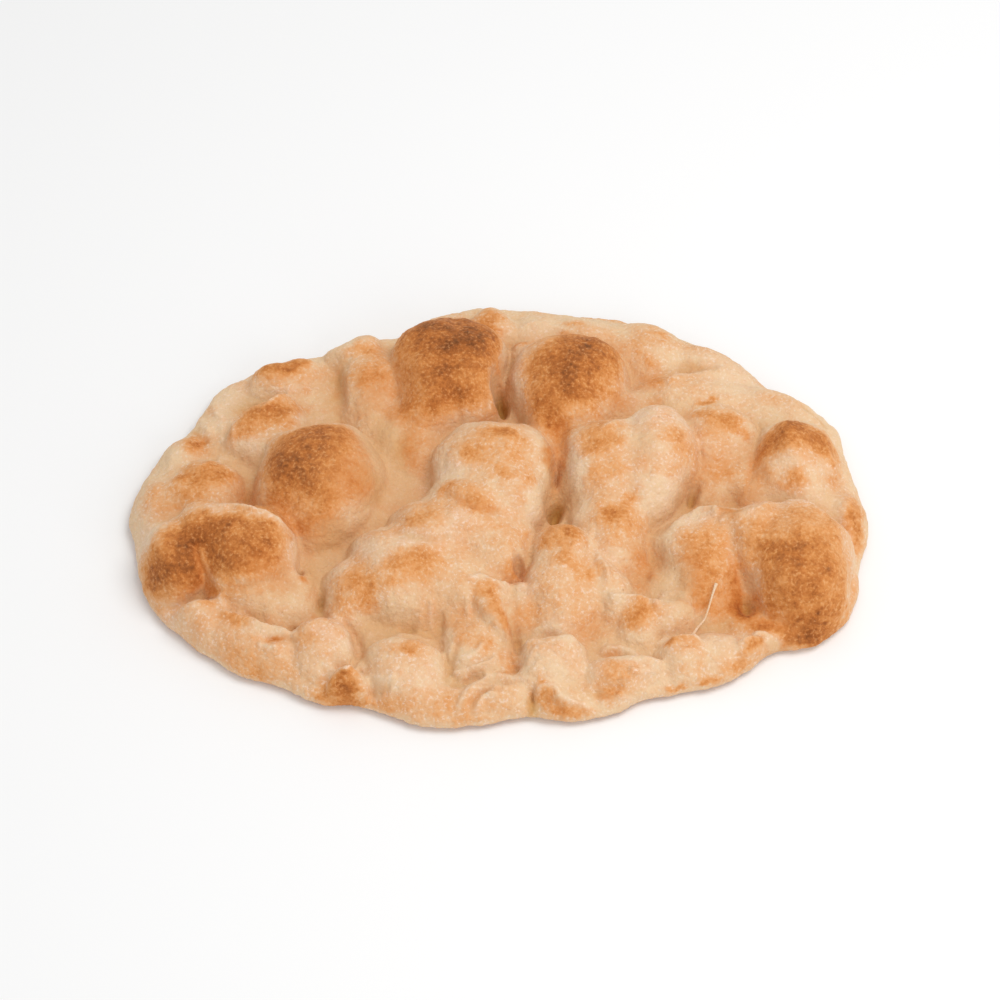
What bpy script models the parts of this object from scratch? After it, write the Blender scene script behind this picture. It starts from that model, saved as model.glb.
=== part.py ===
"""A pinsa crust: an oval, hand-stretched flatbread base, baked plain.

It is one solid piece of dough. Fingertips pressed hollows into it, and between them the dough rose
into tall blisters, so the top is a landscape of domes, saddles and pits over a flat underside.
The crust lies flat on its underside. X runs along the oval, Y across it, from the front rim to the
back one, and the origin is on the table under the middle of the crust.
"""

from collections import namedtuple

import bmesh
import bpy
import numpy as np

MM = 0.001  # every size below is in millimetres; the mesh is in metres

# Driving dimensions
CRUST_LENGTH = 299.0  # along X, rim to rim
CRUST_WIDTH = 212.4  # along Y, rim to rim
SLAB_THICKNESS = 10.0  # the dough between the blisters
RIM_EQUATOR = 3.2  # height of the outermost line of the rim over the table
RIM_ROUND_BACK = 9.0  # how far in from the back rim the top reaches its full height
RIM_ROUND_FRONT = 14.0  # the same at the front rim
UNDERSIDE_ROUND = 7.0  # how far in from the rim the underside is flat
BLISTER_FOOT = 4.0  # height at which a blister's wall is upright
FULLNESS = 2.4  # 2 makes a dome round, more makes it flat on top and steep at the sides
CREASE = 1.3  # softness of the line where two blisters meet
HOLLOW_RISE = 12.0  # how far a hollow's wall rises by its stated half size
HOLLOW_LIP = 1.2  # softness of a hollow's lip
ROLL_HEIGHT = 1.5  # how far the dough between the blisters rolls up and down
ROLL_LENGTH = 65.0  # from one of those rolls to the next
WOBBLE = 1.6  # how far a blister's edge strays from a true oval
WOBBLE_LENGTH = 40.0  # from one stray to the next

# Resolution
TOP_CELLS = 168  # cells along each side of the grid that becomes the top
FACE_SHARE = 0.17  # what is left of the faces once flat and gently curved dough is thinned out
UNDER_RINGS = 4  # rings of faces between the rim's outermost line and the flat underside

CRUMB_COLOUR = (0.72, 0.40, 0.19, 1)
CRUMB_ROUGHNESS = 0.8

# The rim seen from above, anticlockwise from the right-hand end.
OUTLINE = [
    (149.5, 0), (147, 14), (143.5, 31), (140, 49), (128.5, 59.5), (116, 66.5), (106, 77.5),
    (96.5, 87.5), (83, 94.5), (71, 101.5), (52, 108.5), (28, 111), (10, 114), (-13, 113.5),
    (-30, 108), (-43, 99), (-57, 96), (-70, 89.5), (-89, 84), (-102, 79), (-116, 69.5),
    (-122.5, 58), (-128, 46), (-136, 38), (-144, 22),
    (-149.5, 4), (-146, -13), (-141, -33), (-134, -46), (-116, -63), (-97, -75), (-83, -80),
    (-69, -87), (-55, -88), (-40, -93), (-28, -97.5), (-10, -97), (12, -93), (28, -95.5), (44, -91.5),
    (60, -84.5), (84, -79), (98, -71), (109, -62.5), (124, -59.5), (136, -50), (142.5, -37),
    (144.5, -22), (148.5, -9),
]

# A dome of dough. (x, y) is its summit, seen from above. It reaches back and front from there, and
# half_width to each side, turned anticlockwise by turn degrees. soft is how gently its front runs out.
Blister = namedtuple("Blister", "x y back front half_width turn top soft", defaults=(0.8,))

BLISTERS = {
    # back row
    "back_tall_left": Blister(-25, 74, 25, 42, 22, 0, 32, 0.6),
    "back_tall_left_side": Blister(-12.5, 74, 24, 38, 17.5, 0, 31.5, 0.6),
    "back_left_skirt": Blister(-52, 66, 22, 40, 15, -4, 20),
    "back_tall_left_foot": Blister(-36, 42, 20, 34, 22, -10, 18),
    "back_tall_right": Blister(29.5, 68, 22, 40, 26, 0, 32, 0.6),
    "back_right_spout": Blister(20, 42, 18, 25, 11, 10, 22, 0.6),
    "back_rim_middle": Blister(-2, 97, 13, 18, 13, 0, 20),
    "back_rim_pale": Blister(15, 92, 15, 20, 15, 10, 17),
    "back_gap_knob": Blister(10, 81, 8, 14, 8, 0, 19),
    "back_rim_right": Blister(36, 93, 14, 18, 20, -4, 17),
    "back_rim_far_right": Blister(63, 86, 17, 22, 25, -18, 17),
    "back_right_shoulder": Blister(88, 75, 16, 18, 22, -30, 16),
    "back_right_slope": Blister(84, 59, 14, 26, 30, -8, 18),
    "back_right_edge": Blister(116, 50, 15, 20, 23, -30, 17),
    "back_rim_left": Blister(-60, 84, 11, 18, 14, 15, 18),
    "back_left_edge": Blister(-90, 72, 10, 14, 17, 25, 17),
    "back_left_ridge": Blister(-97, 44, 10, 28, 20, 38, 22),
    "back_right_patch": Blister(92, 42, 12, 34, 18, -30, 21),
    # left end
    "left_tall": Blister(-72, 17, 25, 38, 28, 0, 33, 0.6),
    "left_tall_foot": Blister(-52, 6, 20, 32, 18, 10, 14),
    "left_rim": Blister(-119, 10, 17, 30, 17, 0, 20),
    "left_rim_outer": Blister(-134, -1, 26, 26, 15, 0, 16),
    "left_rim_back": Blister(-129, 28, 13, 14, 13, 30, 15),
    "left_low_inner": Blister(-100, -20, 20, 34, 23, 0, 31, 0.6),
    "left_low_bridge": Blister(-114, -16, 18, 15, 18, 0, 29.5, 0.6),
    "left_low_outer": Blister(-127, -25, 20, 20, 17, 15, 27, 0.5),
    "left_low_foot": Blister(-86, -37, 15, 25, 17, 0, 17),
    "front_left_ridge": Blister(-117, -51, 5, 18, 15, 0, 17),
    "front_left_ridge_middle": Blister(-98, -58, 5, 22, 16, -28, 16.5),
    "front_left_ridge_end": Blister(-84, -64, 5, 20, 12, -18, 15),
    "front_left_knob": Blister(-68, -62, 9, 23, 13, 0, 20),
    "front_left_bead": Blister(-58, -87, 9.5, 11, 9.5, 0, 20.5, 0.6),
    # the long loaf across the middle
    "loaf_back": Blister(0.5, 22, 22, 32, 25.5, 0, 31, 0.6),
    "loaf_back_left": Blister(-9, 21, 21, 30, 19.5, 0, 29.5, 0.6),
    "loaf_middle": Blister(-12, -7, 22, 32, 23, -42, 30, 0.6),
    "loaf_front": Blister(-36, -31, 21, 28, 26, -34, 28, 0.6),
    "loaf_waist": Blister(1, 6, 18, 26, 22, -20, 29.5, 0.6),
    "loaf_neck": Blister(-25, -17, 20, 28, 22, -35, 28.5, 0.6),
    "loaf_left": Blister(-54, -38, 13, 24, 16, -20, 22),
    "loaf_face": Blister(-18, -34, 18, 23, 17, 0, 24),
    "loaf_side": Blister(-2, -16, 20, 26, 19, 0, 26, 0.6),
    "loaf_spur": Blister(-5, -44, 14, 28, 10, 24, 21),
    "loaf_spur_foot": Blister(-12, -55, 12, 16, 13, 0, 14.5),
    # right of the middle
    "right_pale": Blister(65, 29, 22, 40, 18, -14, 31, 0.6),
    "right_pale_left": Blister(46, 25, 20, 35, 24.5, -5, 30, 0.8),
    "right_pale_front": Blister(46, -6, 20, 32, 18, 0, 23),
    "right_pale_behind": Blister(56, 52, 14, 20, 13, 0, 17),
    "middle_peak": Blister(25.5, -22, 12, 28, 15, 0, 26, 0.6),
    "middle_peak_front": Blister(25, -37, 16, 32, 18, 0, 23, 1.0),
    "middle_peak_right": Blister(42, -36, 18, 22, 11, 18, 20, 0.6),
    "spur_saddle": Blister(10, -43, 6, 22, 9, 0, 16),
    "small_golden": Blister(55, -51, 8, 15, 11.5, 0, 17.5, 0.6),
    "small_pale": Blister(68, -49, 7, 14, 11, 0, 17),
    "pinched_tip": Blister(83, -8, 7, 14, 8, 0, 20),
    "right_front_ridge": Blister(81, -19, 16, 36, 19, 0, 22),
    "right_front_flank": Blister(77, -22, 18, 36, 25, 0, 16.5),
    "right_front_saddle": Blister(92, -9, 9, 20, 13, 0, 23),
    "right_front_bridge": Blister(103, -14, 16, 28, 16, 0, 28, 1.0),
    "right_low_tall": Blister(119.5, -23, 24, 36, 22, 0, 31, 0.5),
    "right_low_corner": Blister(126, -38, 20, 21, 15, 10, 28, 0.5),
    "right_low_left": Blister(114, -38, 20, 19, 15, 0, 26, 0.6),
    "right_rim_fill": Blister(132, 3, 18, 20, 14, 0, 15),
    "right_back_flank": Blister(108, 16, 20, 26, 20, 0, 16.5),
    "right_back_foot": Blister(90, 20, 20, 30, 20, 0, 14.5),
    "right_back_tall": Blister(121, 28, 18, 38, 19, 0, 25.5),
    "right_back_crest": Blister(120, 29, 15, 26, 12, 0, 28.5),
    "right_rim": Blister(142, -1, 12, 18, 9, -5, 17),
    # front rim
    "front_middle_left": Blister(-36, -70, 7, 28, 18, 0, 18),
    "front_middle": Blister(-9, -67, 18, 15, 13, 0, 15.5),
    "front_round": Blister(19.5, -70, 8, 22, 17, 0, 20.5),
    "front_right_fold": Blister(48, -76, 5, 18, 17, 0, 17),
    "front_right_arc": Blister(71, -68, 5, 18, 13, 5, 16.5),
    "front_right_middle": Blister(86, -66, 9, 16, 14, 0, 14),
    "front_right_end": Blister(98.5, -64.5, 4, 12, 10, 12, 18),
    "front_roll_left": Blister(-9, -89, 5, 12, 9, 40, 13.5),
    "front_roll": Blister(3, -86, 4.5, 14, 12, 0, 14.5),
    "front_roll_right": Blister(23, -90, 5, 8, 10, -15, 14),
}

# Where a fingertip pressed the dough down, or where blisters leave a gap between them.
# (x, y) is the deepest point. wide and long are half sizes along X and Y before the turn, in degrees.
Hollow = namedtuple("Hollow", "x y wide long turn floor")

HOLLOWS = {
    "behind_loaf": Hollow(1.4, 57, 3.8, 9, -5, 2),
    "between_back_talls": Hollow(5, 72, 2.8, 11, 0, 16),
    "right_of_back_right": Hollow(57, 70, 2.5, 10, -4, 14),
    "right_of_loaf_back": Hollow(22.5, 16, 2.4, 10, 0, 9),
    "right_of_loaf": Hollow(24.5, 1.5, 5, 8, -10, 2),
    "loaf_side": Hollow(7.5, -32, 4, 6, -8, 9.5),
    "right_of_pale": Hollow(81.5, 26, 1.8, 9, -6, 16.5),
    "right_of_pale_front": Hollow(78.5, 7.5, 4.5, 9, -4, 6),
    "left_of_back_right": Hollow(94, 5, 7, 8, 0, 10),
    "left_low_bowl": Hollow(-116, -38, 6, 6, 15, 19),
    "behind_left_ridge": Hollow(-103, 57, 9, 4, 34, 8),
    "left_of_left_tall": Hollow(-101, 7, 4.5, 13, 10, 8),
    "front_of_left_tall": Hollow(-77, -30, 4, 6, 0, 8),
    "left_of_loaf_front": Hollow(-70, -46, 3, 9, -10, 7.5),
    "left_of_knob": Hollow(-79, -58, 3, 3, 0, 6),
    "right_trough": Hollow(62, -26, 7, 13, 0, 10),
    "left_of_right_tall": Hollow(97, -46, 4.5, 8, 0, 5),
    "front_of_right_ridge": Hollow(88, -54, 8, 5, 6, 9.5),
    "front_of_loaf": Hollow(-35, -58, 9, 5, 0, 10.5),
    "front_of_loaf_right": Hollow(-21.5, -58, 3.5, 5, 0, 10.5),
    "front_left_crease_back": Hollow(-19, -73, 2.2, 9, 4, 10),
    "left_of_front_round": Hollow(5.8, -76, 5, 4, 0, 8.5),
    "left_of_front_round_back": Hollow(7.5, -64, 4, 15, -3, 10),
    "front_left_crease": Hollow(-17, -81.5, 4.5, 4, -20, 8.5),
    "left_of_skirt": Hollow(-65, 62, 4.5, 16, 0, 12),
    "left_rim_notch": Hollow(-120, 36, 7, 8, 0, 11.5),
    "front_rim_notch": Hollow(43, -84, 9, 3, 6, 11),
    "between_front_rolls": Hollow(13.5, -88, 2.2, 5, 0, 7.5),
}


def outline_radius(angle):
    """Distance from the middle of the crust to its rim, by a smooth closed curve through OUTLINE."""
    points = np.array(OUTLINE, float)
    angles = np.unwrap(np.arctan2(points[:, 1], points[:, 0]))
    radii = np.hypot(points[:, 0], points[:, 1])
    turn = 2 * np.pi
    angles = np.concatenate([angles[-2:] - turn, angles, angles[:2] + turn])
    radii = np.concatenate([radii[-2:], radii, radii[:2]])
    angle = (angle - angles[2]) % turn + angles[2]
    left = np.clip(np.searchsorted(angles, angle, side="right") - 1, 1, len(angles) - 3)
    width = angles[left + 1] - angles[left]
    t = (angle - angles[left]) / width
    slope_in = (radii[left + 1] - radii[left - 1]) / (angles[left + 1] - angles[left - 1]) * width
    slope_out = (radii[left + 2] - radii[left]) / (angles[left + 2] - angles[left]) * width
    return (
        radii[left] * (1 + 2 * t) * (1 - t) ** 2
        + slope_in * t * (1 - t) ** 2
        + radii[left + 1] * t * t * (3 - 2 * t)
        + slope_out * t * t * (t - 1)
    )


def waves(x, y, length, phase):
    """Waves of about the given length over the plan, between -1 and 1."""
    turn = 2 * np.pi / length
    return np.sin(turn * x + phase) * np.cos(turn * (y + x / 3) + 2 * phase)


def turned(x, y, piece):
    """How far the point is to the right of the piece's middle and behind it, along its own axes."""
    turn = np.radians(piece.turn)
    aside, behind = x - piece.x, y - piece.y
    return (
        aside * np.cos(turn) + behind * np.sin(turn),
        behind * np.cos(turn) - aside * np.sin(turn),
    )


def blister_top(x, y, blister):
    """A dome's height, and far below the table outside it. Its back is steep and its front is softer."""
    aside, behind = turned(x, y, blister)
    behind = behind / np.where(behind > 0, blister.back, blister.front)
    reach = np.hypot(behind, aside / blister.half_width)
    frontness = np.clip(-behind / np.maximum(reach, 0.01), 0, 1)
    power = 0.5 + (blister.soft - 0.5) * frontness
    rise = (blister.top - BLISTER_FOOT) * np.maximum(1 - reach**FULLNESS, 0) ** power
    return np.where(reach < 1, BLISTER_FOOT + rise, -50.0)


def hollow_top(x, y, hollow):
    """A bowl that rises steeply from the hollow's floor."""
    aside, behind = turned(x, y, hollow)
    return hollow.floor + HOLLOW_RISE * ((behind / hollow.long) ** 2 + (aside / hollow.wide) ** 2)


def dough_top(x, y):
    """Height of the top: the highest of slab and blisters, cut down to the hollows."""
    stray_x = WOBBLE * waves(x, y, WOBBLE_LENGTH, 1)
    stray_y = WOBBLE * waves(y, x, WOBBLE_LENGTH, 2)
    x, y = x + stray_x, y + stray_y
    slab = SLAB_THICKNESS + ROLL_HEIGHT * waves(x, y, ROLL_LENGTH, 0)
    raised = np.exp(slab / CREASE)
    for blister in BLISTERS.values():
        raised += np.exp(blister_top(x, y, blister) / CREASE)
    lowered = np.exp(-CREASE * np.log(raised) / HOLLOW_LIP)
    for hollow in HOLLOWS.values():
        lowered += np.exp(-hollow_top(x, y, hollow) / HOLLOW_LIP)
    return -HOLLOW_LIP * np.log(lowered)


def round_edge(t):
    """A quarter circle from 0 to 1."""
    return np.sqrt(1 - (1 - np.clip(t, 0, 1)) ** 2)


def plan_of(grid):
    """The plan of each point of a square grid from -1 to 1, and its distance from the rim."""
    u, v = grid[:, 0], grid[:, 1]
    across, up = u * np.sqrt(1 - v * v / 2), v * np.sqrt(1 - u * u / 2)
    share = np.clip(np.hypot(across, up), 0, 1)
    angle = np.arctan2(up * CRUST_WIDTH, across * CRUST_LENGTH)
    radius = outline_radius(angle)
    x, y = share * radius * np.cos(angle), share * radius * np.sin(angle)
    return x, y, (1 - share) * radius


def coordinates(verts):
    return np.array([v.co for v in verts], float)


def place(verts, points):
    for vert, point in zip(verts, points):
        vert.co = point


def shape_top(mesh):
    """Turns the flat grid into the top of the crust, from the rim's outermost line upwards."""
    verts = list(mesh.verts)
    x, y, inset = plan_of(coordinates(verts))
    back_share = y / CRUST_WIDTH + 0.5
    rim_round = RIM_ROUND_FRONT + (RIM_ROUND_BACK - RIM_ROUND_FRONT) * back_share
    z = RIM_EQUATOR + (dough_top(x, y) - RIM_EQUATOR) * round_edge(inset / rim_round)
    place(verts, np.stack([x, y, z], 1))


def add_underside(mesh):
    """Rounds the rim in under the crust, ring by ring, and closes it with the flat face it lies on."""
    edges = [edge for edge in mesh.edges if edge.is_boundary]
    for ring in range(1, UNDER_RINGS + 1):
        made = bmesh.ops.extrude_edge_only(mesh, edges=edges)["geom"]
        edges = [g for g in made if isinstance(g, bmesh.types.BMEdge) and g.is_boundary]
        verts = list({v for e in edges for v in e.verts})
        angle = np.pi / 2 * ring / UNDER_RINGS
        last_angle = angle - np.pi / 2 / UNDER_RINGS
        step_in = UNDERSIDE_ROUND * (np.cos(last_angle) - np.cos(angle))
        points = coordinates(verts)
        away = points[:, :2] / np.linalg.norm(points[:, :2], axis=1, keepdims=True)
        points[:, :2] -= away * step_in
        points[:, 2] = RIM_EQUATOR * (1 - np.sin(angle))
        place(verts, points)
    bmesh.ops.contextual_create(mesh, geom=edges)


def fit_plan(mesh):
    """Centres the crust over the origin at its stated length and width."""
    verts = list(mesh.verts)
    points = coordinates(verts)
    low, high = points[:, :2].min(0), points[:, :2].max(0)
    points[:, :2] = (points[:, :2] - (low + high) / 2) * (CRUST_LENGTH, CRUST_WIDTH) / (high - low)
    place(verts, points)


def dough_material():
    """Pale baked wheat dough."""
    material = bpy.data.materials.new("baked_dough")
    material.use_nodes = True
    surface = material.node_tree.nodes["Principled BSDF"]
    surface.inputs["Base Color"].default_value = CRUMB_COLOUR
    surface.inputs["Roughness"].default_value = CRUMB_ROUGHNESS
    surface.inputs["Metallic"].default_value = 0
    material.diffuse_color = CRUMB_COLOUR
    return material


def make_crust(collection):
    mesh = bmesh.new()
    bmesh.ops.create_grid(mesh, x_segments=TOP_CELLS, y_segments=TOP_CELLS, size=1)
    shape_top(mesh)
    add_underside(mesh)
    fit_plan(mesh)
    bmesh.ops.scale(mesh, vec=(MM, MM, MM), verts=mesh.verts)
    bmesh.ops.triangulate(mesh, faces=mesh.faces)
    bmesh.ops.recalc_face_normals(mesh, faces=mesh.faces)
    data = bpy.data.meshes.new("crust")
    mesh.to_mesh(data)
    mesh.free()
    data.shade_smooth()
    data.materials.append(dough_material())
    crust = bpy.data.objects.new("crust", data)
    collection.objects.link(crust)
    thin = crust.modifiers.new("thin_flat_dough", "DECIMATE")
    thin.ratio = FACE_SHARE


def main():
    for old in list(bpy.data.objects):
        bpy.data.objects.remove(old)
    collection = bpy.data.collections.new("pinsa_crust")
    bpy.context.scene.collection.children.link(collection)
    make_crust(collection)


main()
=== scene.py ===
"""The looks of the pinsa crust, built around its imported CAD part.

The crust is drawn again at a fine resolution from the same named domes and hollows as the CAD part,
then creased, wrinkled and coloured. Lengths are in millimetres in the drawing's own plan until
make_crust() turns them into metres in the frame.
"""

from collections import namedtuple

import bmesh
import bpy
import numpy as np
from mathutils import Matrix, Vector, noise


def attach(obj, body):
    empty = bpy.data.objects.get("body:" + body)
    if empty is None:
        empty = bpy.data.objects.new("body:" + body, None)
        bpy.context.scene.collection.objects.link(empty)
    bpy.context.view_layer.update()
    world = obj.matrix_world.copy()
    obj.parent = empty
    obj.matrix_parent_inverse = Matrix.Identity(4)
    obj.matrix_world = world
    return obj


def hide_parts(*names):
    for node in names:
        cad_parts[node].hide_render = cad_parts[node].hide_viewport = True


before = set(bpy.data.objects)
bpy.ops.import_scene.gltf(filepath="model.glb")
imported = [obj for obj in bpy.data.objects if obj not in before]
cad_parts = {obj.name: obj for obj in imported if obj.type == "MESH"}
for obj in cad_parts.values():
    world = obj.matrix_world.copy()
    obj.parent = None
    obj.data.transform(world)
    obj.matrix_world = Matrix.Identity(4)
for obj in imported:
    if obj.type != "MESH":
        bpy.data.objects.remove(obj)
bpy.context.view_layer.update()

MM = 0.001

# The sizes that drive the CAD part
CRUST_LENGTH = 299.0  # along X, rim to rim
CRUST_WIDTH = 212.4  # along Y, rim to rim
SLAB_THICKNESS = 10.0  # the dough between the blisters
RIM_EQUATOR = 3.2  # height of the outermost line of the rim over the table
RIM_ROUND_BACK = 9.0  # how far in from the back rim the top reaches its full height
RIM_ROUND_FRONT = 14.0  # the same at the front rim
UNDERSIDE_ROUND = 7.0  # how far in from the rim the underside is flat
BLISTER_FOOT = 4.0  # height at which a blister's wall is upright
FULLNESS = 2.4  # 2 makes a dome round, more makes it flat on top and steep at the sides
CREASE = 1.3  # softness of the line where two blisters meet
HOLLOW_RISE = 12.0  # how far a hollow's wall rises by its stated half size
HOLLOW_LIP = 1.2  # softness of a hollow's lip
ROLL_HEIGHT = 1.5  # how far the dough between the blisters rolls up and down
ROLL_LENGTH = 65.0  # from one of those rolls to the next
WOBBLE = 1.6  # how far a blister's edge strays from a true oval
WOBBLE_LENGTH = 40.0  # from one stray to the next
FAR_BELOW = -50.0  # what stands for a blister's height outside it

# Resolution of the looks
PLAN_CELLS = 480  # cells along each side of the grid that becomes the top
UNDER_RINGS = 6  # rings of faces between the rim's outermost line and the flat underside
VOXEL = 0.66  # size of the even mesh that the detail is put on
MOST_FACES = 190000  # triangles in the finished crust
UNDERSIDE_SHARE = 0.06  # what is left of the even mesh's faces on the flat underside
FLAT_BELOW = 0.3  # points lower than this are on the flat underside
MAP_HALF = 165  # half the side of the square that heights are averaged over, in cells of 1 mm

# Folds and patches
FOLD_TAPER = 0.2  # the share of a fold at each end over which it fades out
LIP_PALE = 0.9  # how far from a lip its skin stays pale
CREASE_SHADE_REACH = 1.8  # how far from a crease the painted shade reaches
PATCH_CORE = 0.1  # the share of a patch's half size that is fully its own colour
PATCH_EDGE = 1.55  # and where it has faded out
STEEP_REACH = 1.3  # how much farther a patch reaches up and down a wall than across the plan
STRAYS = ((2.6, 11.0, 3, 10.0), (1.3, 3.0, 2, 20.0))  # ragged edges: distance, blob, octaves, seed

# Small relief: about how far each kind moves the surface
LUMPS = 0.75
WRINKLES = 0.16
GRAIN = 0.16
PLEATS = 0.22
UNDERSIDE_RELIEF = 0.35
RELIEF_FADE = (0.6, 2.5)  # heights over which the relief of the top takes over from the underside's

# Baking, in shares from 0 to 1
INNER = (4, 16)  # distances from the rim over which crests and deep places come to count
CREST_REACH, VALLEY_REACH, CREVICE_REACH = 9, 11, 4  # how far round a point the mean height is taken
CREST_TOAST = 0.34  # how much browner the top of a crest is
BLUSH_TOAST = 0.05  # browning that lies everywhere
BLUSH_SWAY = 0.15  # how much that varies over the crust
WALL_PALE = 0.5  # how much of its browning an upright wall loses, unless it is brown right through
LIP_LOSS, CREVICE_LOSS, HOLE_LOSS = 0.5, 0.6, 0.5  # browning lost on lips, in crevices and in holes
CREST_FLOUR, LIP_FLOUR = 0.35, 0.8  # how floury crests and lips are at least
VALLEY_GOLD_AND_SHADE, CREASE_GOLD_AND_SHADE = 0.6, 0.5  # and how much golden colour and painted shade valleys and creases get
TOAST_BELOW, FLOUR_BELOW = 0.38, 0.5  # the underside on the whole
THREAD_TOAST, THREAD_FLOUR = 0.03, 0.8

# The dough thread
THREAD_RADIUS = 0.5
THREAD_SIDES = 10
THREAD_STEPS = 8  # rings from one of its points to the next

CAMERA_ELEVATION = 52.0  # degrees over the table
CAMERA_DISTANCE = 1.135  # metres
CAMERA_TARGET = (0.0008, 0.0067, 0.0)
FLOOR_HALF = 3.0  # metres
FLOOR_GAP = 0.0003  # how far the floor lies under the crust, so that the two don't touch

# The rim seen from above, anticlockwise from the right-hand end.
OUTLINE = [
    (149.5, 0), (147, 14), (143.5, 31), (140, 49), (128.5, 59.5), (116, 66.5), (106, 77.5),
    (96.5, 87.5), (83, 94.5), (71, 101.5), (52, 108.5), (28, 111), (10, 114), (-13, 113.5),
    (-30, 108), (-43, 99), (-57, 96), (-70, 89.5), (-89, 84), (-102, 79), (-116, 69.5),
    (-122.5, 58), (-128, 46), (-136, 38), (-144, 22),
    (-149.5, 4), (-146, -13), (-141, -33), (-134, -46), (-116, -63), (-97, -75), (-83, -80),
    (-69, -87), (-55, -88), (-40, -93), (-28, -97.5), (-10, -97), (12, -93), (28, -95.5), (44, -91.5),
    (60, -84.5), (84, -79), (98, -71), (109, -62.5), (124, -59.5), (136, -50), (142.5, -37),
    (144.5, -22), (148.5, -9),
]

# A dome of dough. (x, y) is its summit, seen from above. It reaches back and front from there, and
# half_width to each side, turned anticlockwise by turn degrees. soft is how gently its front runs out.
Blister = namedtuple("Blister", "x y back front half_width turn top soft", defaults=(0.8,))

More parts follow.
